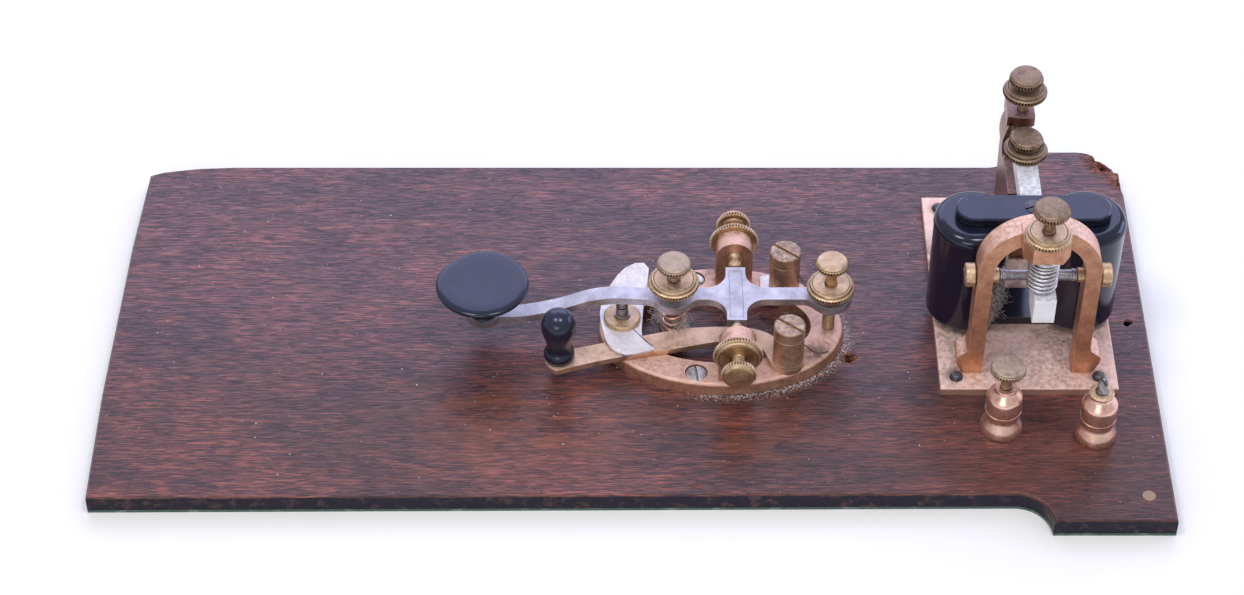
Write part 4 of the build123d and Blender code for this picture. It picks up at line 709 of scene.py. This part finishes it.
def key_knob():
    """Flat finger disc on a waisted hub, its far left rim worn down."""
    disc_cut = worn_edge(1.1, 131, 22)
    rows = smooth_outline((5.2, 0), (4.9, 1.2), (5.3, 2.2), (5.0, 3.2), (4.4, 5.0), (5.4, 8.2), (8.2, 10.9),
                          (11.5, 11.9))
    rows += [(radius, height, disc_cut) for radius, height in (
        (14.8, 12.2), (15.7, 12.45), (16.25, 12.85), (16.5, 13.4), (16.42, 13.9), (16.1, 14.25),
        (15.5, 14.45), (14.2, 14.52))]
    rows += [plain(10.0, 14.46), plain(5.0, 14.42), plain(0.05, 14.4)]
    turned_node("key_knob", rows, UP, 120, "key_lever_group")


def terminal(side, knurl_from, knurl_to):
    """Slotted terminal pillar: stud through the ring, a foot groove, and a band of diamond knurling."""
    node = "terminal_" + side
    length = axis_frame(node, UP)[1]
    foot = 7.05 if side == "near" else 5.6
    rows = [plain(0.05, 0), plain(2.4, 0), plain(2.4, foot - 2.2), plain(3.0, foot - 2.2), plain(3.0, foot),
            plain(5.2, foot), plain(5.45, foot + 0.25), plain(5.5, foot + 1.2), plain(5.28, foot + 1.32),
            plain(5.28, foot + 1.55), plain(5.5, foot + 1.7)]
    rows += cross_hatched(5.5, foot + knurl_from, foot + knurl_to, 30)
    rows += [plain(5.5, length - 0.35), plain(5.3, length - 0.1), plain(4.9, length), plain(1.7, length),
             plain(1.65, length - 7.5), plain(0.05, length - 7.5)]
    turned_node(node, rows, UP, 240, "root")


def round_rod(start, end, radius, segments=32):
    """Closed straight rod between two points given in metres."""
    axis = Vector(end) - Vector(start)
    return turned_mesh([plain(radius, 0), plain(radius, axis.length / MM)], start, axis, segments)


def binding_posts():
    """Bell-footed posts with a grooved barrel and a cross hole for the wire."""
    low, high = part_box("binding_posts")
    stud_bottom = low.z / MM
    deck = BOARD_TOP / MM
    points, faces, holes = [], [], []
    for x, y in POST_PLACES:
        rows = [plain(0.05, stud_bottom - deck), plain(1.5, stud_bottom - deck), plain(1.5, 0), plain(7.2, 0)]
        rows += smooth_outline((7.42, 0.4), (7.45, 1.3), (7.1, 2.9), (6.3, 4.6), (5.6, 6.2), (5.55, 7.4),
                               (6.0, 8.5), (6.3, 9.3))
        rows += [plain(6.32, 9.9), plain(6.18, 10.0), plain(6.18, 10.15), plain(6.32, 10.25)]
        rows += smooth_outline((6.32, 12.0), (6.32, 15.0), (6.15, 16.2), (5.5, 17.4), (4.6, 18.6),
                               (4.0, 19.6), (3.85, 20.4))
        rows += [plain(3.7, 20.7), plain(2.25, 20.7), plain(2.2, 12.5), plain(0.05, 12.5)]
        part_points, part_faces = turned_mesh(rows, (x * MM, y * MM, BOARD_TOP), UP, 72)
        faces += [tuple(len(points) + k for k in face) for face in part_faces]
        points += part_points
        hole_height = BOARD_TOP + 11.7 * MM
        holes.append(round_rod(((x - 9) * MM, y * MM, hole_height), ((x + 9) * MM, y * MM, hole_height), 1.5))
    posts = new_piece("binding_posts_turned", points, faces, "copper", "root",
                      ["binding_posts"])
    carved(posts, *holes)


def twisted_stub():
    """Snapped-off screw left in the right post: a dirty brass collar and a twisted grey stem."""
    length = axis_frame("post_stub_screw", UP)[1]
    seat = length - 8.8

    def twist(depth, height):
        return lambda angle: depth * (1 - math.cos(2 * angle + height * 1.1))
    start = axis_frame("post_stub_screw", UP)[0]
    collar = [plain(2.3, seat), plain(4.15, seat), plain(4.4, seat + 0.25), plain(4.35, seat + 0.8),
              plain(4.0, seat + 1.1), plain(3.4, seat + 1.25), plain(2.9, seat + 1.35), plain(2.3, seat + 1.3)]
    points, faces = turned_mesh(collar, start, UP, 48, hollow=True)
    new_piece("post_stub_collar", points, faces, "brass", "root")
    rows = [plain(0.05, 0), plain(2.2, 0), plain(2.2, seat + 1.0)]
    stem = ((2.5, 1.5), (2.3, 2.2), (2.1, 3.0), (2.0, 3.9), (1.9, 4.7), (1.8, 5.5), (1.65, 6.3), (1.5, 6.9),
            (1.45, 7.4), (1.6, 7.9), (1.4, 8.4), (0.8, 8.75))
    rows += [(radius, seat + height, twist(0.32, height)) for radius, height in stem]
    rows.append(plain(0.05, seat + 8.8))
    turned_node("post_stub_screw", rows, UP, 48, "root")


def arbor():
    """Pivot arbor with a pair of thin collars inside each end."""
    half = axis_frame("pivot_arbor", RIGHT)[1] / 2
    journal = half - 13.2
    rows = [plain(0.05, 0), plain(1.2, 0), plain(1.2, journal)]
    ends = [(1.5, 0.0), (2.25, 0.15), (2.3, 0.5), (2.0, 0.62), (2.0, 0.8), (2.3, 0.92), (2.3, 1.5), (1.95, 1.7)]
    rows += [plain(radius, journal + step) for radius, step in ends]
    rows += [plain(radius, 2 * half - journal - step) for radius, step in reversed(ends)]
    rows += [plain(1.2, 2 * half - journal), plain(1.2, 2 * half), plain(0.05, 2 * half)]
    turned_node("pivot_arbor", rows, RIGHT, 40, "sounder_lever_group")


def round_head_screws():
    """Dark round-headed screws that hold the sounder plate down."""
    low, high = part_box("plate_screws")
    bottom = low.z - BOARD_TOP
    points, faces = [], []
    for x, y in PLATE_SCREW_PLACES:
        rows = [plain(0.05, bottom / MM), plain(1.6, bottom / MM), plain(1.6, 3.2), plain(2.3, 3.2)]
        rows += [plain(2.45 * math.cos(t), 3.25 + 1.75 * math.sin(t))
                 for t in (0.0, 0.3, 0.6, 0.9, 1.15, 1.35, 1.5)]
        part_points, part_faces = turned_mesh(rows, (x * MM, y * MM, BOARD_TOP), UP, 36)
        faces += [tuple(len(points) + k for k in face) for face in part_faces]
        points += part_points
    new_piece("plate_screws_round", points, faces, "blued", "root", ["plate_screws"])


def ring_screws():
    """Oval-headed screws in the ring's countersinks; the near one's slot points at the operator."""
    low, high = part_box("key_base_screws")
    bottom = (low.z - BOARD_TOP) / MM
    points, faces, slots = [], [], []
    for (x, y), slot_angle in zip(RING_SCREW_PLACES, (97, -35)):
        rows = [plain(0.05, bottom), plain(1.8, bottom), plain(1.8, 3.65), plain(3.95, 3.65), plain(3.95, 4.45)]
        rows += [plain(3.95 * math.cos(t), 4.45 + 0.68 * math.sin(t)) for t in (0.1, 0.35, 0.6, 0.85, 1.1, 1.35)]
        rows.append(plain(0.05, 5.14))
        part_points, part_faces = turned_mesh(rows, (x * MM, y * MM, BOARD_TOP), UP, 40)
        faces += [tuple(len(points) + k for k in face) for face in part_faces]
        points += part_points
        turn = math.radians(slot_angle)
        along, across = Vector((math.cos(turn), math.sin(turn), 0)), Vector((-math.sin(turn), math.cos(turn), 0))
        middle = board_point(x, y, 4.9)
        corners = [middle + (along * i * 5 + across * j * 0.42 + Vector((0, 0, k * 0.9))) * MM
                   for k in (-1, 1) for j in (-1, 1) for i in (-1, 1)]
        slots.append((corners, BOX_FACES))
    screws = new_piece("key_base_screws_oval", points, faces, "screw_steel", "root",
                       ["key_base_screws"])
    carved(screws, *slots)


def board_point(x, y, height):
    return Vector((x * MM, y * MM, BOARD_TOP + height * MM))


def solid_sheet(name, tops, bottoms, look, body, node):
    """Closed sheet between two matching rings-of-points grids: tops[i][k] and bottoms[i][k], ring 0 inmost."""
    rings, count = len(tops), len(tops[0])
    points = [point for grid in (tops, bottoms) for ring in grid for point in ring]
    faces = []
    for k in range(count):
        after = (k + 1) % count
        for i in range(rings - 1):
            a, b, c, d = i * count + k, i * count + after, (i + 1) * count + after, (i + 1) * count + k
            faces.append((a, d, c, b))
            under = rings * count
            faces.append((a + under, b + under, c + under, d + under))
        rim, low = (rings - 1) * count, (2 * rings - 1) * count
        faces.append((rim + k, low + k, low + after, rim + after))
        low = rings * count
        faces.append((k, after, low + after, low + k))
    return new_piece(name, points, faces, look, body, [node])


def closer_clip():
    """Sprung contact leaf clamped under the anvil disc, its far lobe dished upwards."""
    outline = [(-1.3, -23.0), (-4.2, -21.6), (-6.3, -19.8), (-7.8, -17.3), (-8.8, -14.7), (-9.6, -10.5),
               (-10.4, -6.0), (-10.7, -2.0), (-10.2, 2.0), (-9.0, 6.6), (-6.8, 11.6), (-4.4, 15.6), (-1.6, 18.8),
               (2.0, 20.8), (5.2, 20.9), (7.0, 18.6), (6.7, 15.2), (5.9, 10.0), (5.2, 4.0), (4.8, -1.0),
               (4.5, -6.0), (4.2, -10.6), (4.4, -13.6), (5.7, -16.5), (9.0, -19.9), (5.0, -21.3), (1.6, -22.4)]
    centre_x, centre_y, hole_radius = -2.7, -5.0, 2.3
    low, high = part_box("closer_clip")
    base = (high.z - BOARD_TOP) / MM
    rings = 12
    tops, bottoms = [], []
    for i in range(rings + 1):
        share = i / rings
        top_ring, bottom_ring = [], []
        for x, y in outline:
            reach = math.hypot(x - centre_x, y - centre_y)
            out = (hole_radius + (reach - hole_radius) * share) / reach
            px = centre_x + (x - centre_x) * out
            py = centre_y + (y - centre_y) * out
            lift = 1.5 * max(0, (py - 4.0) / 17.0) ** 1.5
            rim = 0.9 * max(0, (py - 9.0) / 12.0) * max(0, share - 0.6) / 0.4
            top_ring.append(board_point(px, py, base + lift + rim))
            bottom_ring.append(board_point(px, py, base - 0.95 + lift + rim * 0.8))
        tops.append(top_ring)
        bottoms.append(bottom_ring)
    solid_sheet("closer_clip_dished", tops, bottoms, look_of["closer_clip"], "root", "closer_clip")


def box_mesh(low, high):
    """Closed box between two corners in millimetres above the board."""
    points = [board_point(x, y, z) for z in (low[2], high[2]) for y in (low[1], high[1]) for x in (low[0], high[0])]
    return points, BOX_FACES


def welded_copy(node, name):
    """Free copy of a CAD node with its split corners joined again."""
    source = bmesh.new()
    source.from_mesh(nodes[node].data)
    bmesh.ops.remove_doubles(source, verts=source.verts, dist=1e-6)
    mesh = bpy.data.meshes.new(name)
    source.to_mesh(mesh)
    source.free()
    mesh.materials.clear()
    mesh.materials.append(LOOKS[look_of[node]])
    copy = bpy.data.objects.new(name, mesh)
    bpy.context.scene.collection.objects.link(copy)
    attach(copy, "root")
    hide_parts(node)
    return copy


def anvil_bridge():
    """Anvil bridge whose left side is a bowed arm that carries the yoke clear of the lever."""
    bridge = welded_copy("anvil_bridge", "anvil_bridge_bowed")
    left = 135.5
    carved(bridge, box_mesh((left - 1, 46, 40.0), (left + 1.95, 60, 54.0)), sharp_degrees=25)
    bow = ((0.2, 36.0), (-0.1, 39.0), (-0.6, 42.0), (-0.8, 45.0), (-0.6, 48.0), (0.1, 51.0), (0.9, 54.0),
           (1.2, 55.5))
    thickness = 1.9
    points, faces = [], []
    for out, height in bow:
        near = 47.4 + max(0, 40 - height) * 0.2
        for x, y in ((left + out, near), (left + out + thickness, near), (left + out + thickness, 58.3),
                     (left + out, 58.3)):
            points.append(board_point(x, y, height))
    for k in range(len(bow) - 1):
        for i in range(4):
            a, b = k * 4 + i, k * 4 + (i + 1) % 4
            faces.append((a, b, b + 4, a + 4))
    last = (len(bow) - 1) * 4
    faces += [(3, 2, 1, 0), (last, last + 1, last + 2, last + 3)]
    new_piece("anvil_bridge_arm", points, faces, look_of["anvil_bridge"], "root")


BOX_FACES = [(0, 2, 3, 1), (4, 5, 7, 6), (0, 1, 5, 4), (2, 6, 7, 3), (0, 4, 6, 2), (1, 3, 7, 5)]
POST_PLACES = ((129.7, -49.4), (162.3, -52.9))
RING_SCREW_PLACES = ((23.5, -28.2), (23.5, 18.2))
PLATE_SCREW_PLACES = ((115.5, -28.5), (166.0, -28.5), (115.5, 57.5), (166.0, 57.5))
key_knob()
closer_clip()
anvil_bridge()
ring_screws()
terminal("near", 5.0, 9.0)
terminal("far", 2.2, 7.6)
binding_posts()
twisted_stub()
arbor()
round_head_screws()


# ------------------------------------------------------------------ wires, springs and lint
def tube_mesh(path, radius, sides=8):
    """Round tube of a given radius in millimetres along a path of points in metres."""
    path = [Vector(point) for point in path]
    points, faces = [], []
    side = (path[1] - path[0]).orthogonal().normalized()
    for k, here in enumerate(path):
        ahead = (path[min(k + 1, len(path) - 1)] - path[max(k - 1, 0)]).normalized()
        side = (side - ahead * side.dot(ahead)).normalized()
        front = ahead.cross(side)
        for i in range(sides):
            angle = 2 * math.pi * i / sides
            points.append(here + (side * math.cos(angle) + front * math.sin(angle)) * radius * MM)
    for k in range(len(path) - 1):
        for i in range(sides):
            a = k * sides + i
            b = k * sides + (i + 1) % sides
            faces.append((a, b, b + sides, a + sides))
    faces.append(tuple(reversed(range(sides))))
    faces.append(tuple((len(path) - 1) * sides + i for i in range(sides)))
    return points, faces


def coil_path(x, y, bottom, top, radius, wire, turns):
    """Compression spring's centre line: both end turns lie closed, the rest open evenly."""
    steps = 28 * turns
    closed = 0.9
    gap = ((top - bottom) - 2 * closed * 2.1 * wire) / (turns - 2 * closed)
    path = []
    for k in range(steps + 1):
        turn = turns * k / steps
        open_turns = min(max(turn - closed, 0), turns - 2 * closed)
        shut_turns = turn - open_turns
        height = bottom + open_turns * gap + shut_turns * 2.1 * wire
        angle = 2 * math.pi * turn
        path.append(((x + radius * math.cos(angle)) * MM, (y + radius * math.sin(angle)) * MM, height * MM))
    return path


def spring(node, radius, wire, turns):
    low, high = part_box(node)
    middle = (low + high) / 2 / MM
    clearance = 0.15
    path = coil_path(middle.x, middle.y, low.z / MM + wire + clearance, high.z / MM - wire - clearance,
                     radius, wire, turns)
    points, faces = tube_mesh(path, wire, 10)
    piece = new_piece(node + "_wound", points, faces, look_of[node], None, [node])
    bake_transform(piece)


def curved(*knots, steps=8):
    """Smooth path through (x, y, height above the board) knots."""
    ends = [knots[0], *knots, knots[-1]]
    path = []
    for k in range(len(knots) - 1):
        for i in range(steps):
            t = i / steps
            path.append(board_point(*(
                0.5 * (2 * b + (c - a) * t + (2 * a - 5 * b + 4 * c - d) * t ** 2
                       + (3 * b - a - 3 * c + d) * t ** 3)
                for a, b, c, d in zip(*ends[k:k + 4]))))
    path.append(board_point(*knots[-1]))
    return path


def fine_wires():
    """Hair-thin leads that leave the two terminals and rest on the ring."""
    near_lead = curved((61.4, -23.2, 14.2), (62.6, -22.8, 12.6), (64.8, -21.6, 9.0), (67.4, -20.0, 6.4),
                       (70.6, -18.2, 5.45))
    points, faces = tube_mesh(near_lead, 0.2, 6)
    new_piece("key_lead_fine", points, faces, "wire", "root", ["key_lead"])
    far_lead = curved((61.4, 13.4, 12.0), (62.8, 11.6, 10.2), (64.6, 9.0, 7.6), (67.2, 5.4, 5.6))
    points, faces = tube_mesh(far_lead, 0.2, 6)
    new_piece("far_lead_fine", points, faces, "wire", "root")


def lint(name, body, count, place, length_mm, thickness_mm=0.04):
    """Tangle of fine fibres; place(draw) gives each one's starting point in millimetres above the board."""
    draw = random.Random(name)
    points, faces = [], []
    for _ in range(count):
        here = board_point(*place(draw))
        floor = BOARD_TOP + 0.1 * MM
        heading = Vector((draw.uniform(-1, 1), draw.uniform(-1, 1), draw.uniform(-0.5, 0.6))).normalized()
        bend = Vector((draw.uniform(-1, 1), draw.uniform(-1, 1), draw.uniform(-0.7, 0.5))) * 0.8
        path = []
        step = length_mm * draw.uniform(0.5, 1.2) / 7 * MM
        for _ in range(8):
            path.append(Vector((here.x, here.y, max(here.z, floor))))
            here = here + heading * step
            heading = (heading + bend).normalized()
        part_points, part_faces = tube_mesh(path, thickness_mm, 3)
        faces += [tuple(len(points) + k for k in face) for face in part_faces]
        points += part_points
    new_piece(name, points, faces, "lint", body)


def crumbs(name, count, place, smallest=0.1, largest=0.26):
    """Loose grit: small irregular grains lying on a surface."""
    draw = random.Random(name)
    points, faces = [], []
    for _ in range(count):
        x, y, height = place(draw)
        size = draw.uniform(smallest, largest)
        base = len(points)
        for turn in range(3):
            angle = turn * 2.1 + draw.uniform(-0.4, 0.4)
            points.append(board_point(x + size * math.cos(angle), y + size * math.sin(angle), height))
        points.append(board_point(x, y, height + size * draw.uniform(0.7, 1.2)))
        faces += [(base, base + 2, base + 1), (base, base + 1, base + 3), (base + 1, base + 2, base + 3),
                  (base + 2, base, base + 3)]
    new_piece(name, points, faces, "grit", "root")


def near_key_spring(draw):
    angle = draw.uniform(-1.2, 2.6)
    reach = draw.uniform(4.0, 7.5)
    return 13.5 + reach * math.cos(angle), -6.0 + reach * 0.7 * math.sin(angle), draw.uniform(5.0, 10.0)


def in_ring_opening(draw):
    return draw.uniform(16, 58), draw.uniform(-17, 6), draw.uniform(0.1, 0.8)


def on_left_coil(draw):
    angle = draw.uniform(-1.15, -0.1)
    return 120.6 + 14.0 * math.cos(angle), 5 + 14.0 * math.sin(angle), draw.uniform(7.5, 34)


def around_the_ring(draw):
    angle = draw.uniform(-1.75, 0.35)
    reach = 1.0 + abs(draw.gauss(0, 0.035)) + 0.012
    return 32.8 + 43.8 * reach * math.cos(angle), -5 + 29.2 * reach * math.sin(angle), 0.0


def anywhere_on_board(draw):
    return draw.uniform(-175, 105), draw.uniform(-76, 78), 0.0


spring("key_spring", 3.5, 0.55, 5)
spring("sounder_spring", 4.8, 0.62, 7)
fine_wires()
lint("lint_key_spring", "root", 340, near_key_spring, 4, 0.07)
lint("lint_ring_opening", "root", 70, in_ring_opening, 5)
lint("lint_left_coil", "root", 260, on_left_coil, 4)
crumbs("grit_round_key", 520, around_the_ring)
crumbs("grit_on_board", 80, anywhere_on_board, 0.2, 0.45)


# ------------------------------------------------------------------ broken corner and ragged hole
def ragged_lump(x, y, height, radius, squash, seed):
    """Closed lumpy mesh used to break wood away."""
    lump = bmesh.new()
    bmesh.ops.create_icosphere(lump, subdivisions=3, radius=1.0)
    points = []
    for vertex in lump.verts:
        rough = 1 + 0.34 * noise.noise(vertex.co * 1.7 + Vector((seed, 0, 0)))
        rough += 0.16 * noise.noise(vertex.co * 5 + Vector((0, seed, 0)))
        scaled = Vector(a * b for a, b in zip(vertex.co, squash)) * rough * radius * MM
        points.append(scaled + board_point(x, y, height))
    faces = [tuple(vertex.index for vertex in face.verts) for face in lump.faces]
    lump.free()
    return points, faces


def broken_board():
    """Board with its far right corner splintered, a torn hole beside the key and small chips on its edges."""
    board = welded_copy("baseboard", "baseboard_worn")
    cutters = [
        ragged_lump(180.0, 86.2, 0.4, 4.6, (1, 1.1, 0.9), 1),
        ragged_lump(185.0, 84.6, 0.6, 5.0, (1.1, 1.0, 0.7), 2),
        ragged_lump(187.4, 75.5, 0.5, 4.6, (0.8, 1.5, 0.7), 3),
        ragged_lump(177.0, 91.6, 0.8, 2.8, (1.6, 0.7, 0.6), 4),
        ragged_lump(78.1, -16.3, 0.3, 2.5, (1.2, 0.9, 0.8), 5),
        ragged_lump(180.0, 1.2, 0.2, 1.8, (1.1, 1, 0.6), 6),
    ]
    draw = random.Random("board chips")
    for seed in range(9):
        x = draw.uniform(-175, 120)
        y = -82.4 if seed % 3 else 84.3
        cutters.append(ragged_lump(x, y, 0.5, draw.uniform(0.9, 1.7), (2.4, 0.7, 0.6), seed + 10))
    carved(board, *cutters, sharp_degrees=6)


broken_board()


# ------------------------------------------------------------------ stage, light and camera
def pale_floor():
    look = Look("pale_floor")
    tone = look.mix(look.noise(60, 3, 0.5), (0.89, 0.885, 0.895), (0.92, 0.915, 0.925))
    material = look.finish(tone, 0.8, 0.0, look.bump(look.noise(0.8, 4, 0.6), 0.02))
    mesh = bpy.data.meshes.new("floor")
    half = 4.0
    mesh.from_pydata([(-half, -half, 0), (half, -half, 0), (half, half, 0), (-half, half, 0)], [], [(0, 1, 2, 3)])
    mesh.materials.append(material)
    floor = bpy.data.objects.new("floor", mesh)
    bpy.context.scene.collection.objects.link(floor)


def softbox(name, target, azimuth, elevation, distance, width, height, radiance, colour):
    """Flat light of a given brightness aimed at a point. Azimuth 0 is the operator's side, 90 the right."""
    a, e = math.radians(azimuth), math.radians(elevation)
    away = Vector((math.sin(a) * math.cos(e), -math.cos(a) * math.cos(e), math.sin(e)))
    light = bpy.data.lights.new(name, "AREA")
    light.shape = "RECTANGLE"
    light.size = width
    light.size_y = height
    light.energy = radiance * math.pi * width * height
    light.color = colour
    lamp = bpy.data.objects.new(name, light)
    bpy.context.scene.collection.objects.link(lamp)
    lamp.location = Vector(target) + away * distance
    lamp.rotation_mode = "QUATERNION"
    lamp.rotation_quaternion = away.to_track_quat("Z", "Y")


def studio():
    pale_floor()
    middle = (0.03, 0.0, 0.03)
    softbox("softbox_left", middle, -60, 68, 1.3, 0.30, 0.30, 13, (1.0, 0.985, 0.96))
    softbox("softbox_right", middle, 38, 72, 1.3, 0.30, 0.30, 13, (1.0, 0.985, 0.96))
    softbox("front_sheet", middle, -14, 22, 1.5, 0.7, 0.34, 4.2, (1.0, 0.99, 0.98))
    softbox("back_sheet", middle, 180, 33, 1.6, 1.9, 0.9, 2.6, (0.62, 0.66, 1.0))
    softbox("right_sheet", middle, 108, 16, 1.2, 0.6, 0.5, 3.9, (0.52, 0.60, 1.0))
    world = bpy.data.worlds.new("studio_air")
    bpy.context.scene.world = world
    world.use_nodes = True
    background = world.node_tree.nodes["Background"]
    background.inputs["Color"].default_value = (0.95, 0.955, 1.0, 1.0)
    background.inputs["Strength"].default_value = 0.58


def photo_camera():
    """Long lens, 45.5 degrees above the board on the operator's side, aimed at the middle of the frame."""
    camera_data = bpy.data.cameras.new("camera")
    camera_data.sensor_width = 36
    camera_data.lens = 86.8
    camera = bpy.data.objects.new("camera", camera_data)
    bpy.context.scene.collection.objects.link(camera)
    aim = Vector((-2.75 * MM, 14.0 * MM, BOARD_TOP))
    elevation = math.radians(45.5)
    distance = 1093.6 * MM
    away = Vector((0, -math.cos(elevation), math.sin(elevation)))
    camera.location = aim + away * distance
    camera.rotation_mode = "QUATERNION"
    camera.rotation_quaternion = away.to_track_quat("Z", "Y")
    camera_data.clip_start = 0.05
    camera_data.clip_end = 20
    bpy.context.scene.camera = camera


studio()
photo_camera()
bpy.context.scene.view_settings.view_transform = "Standard"
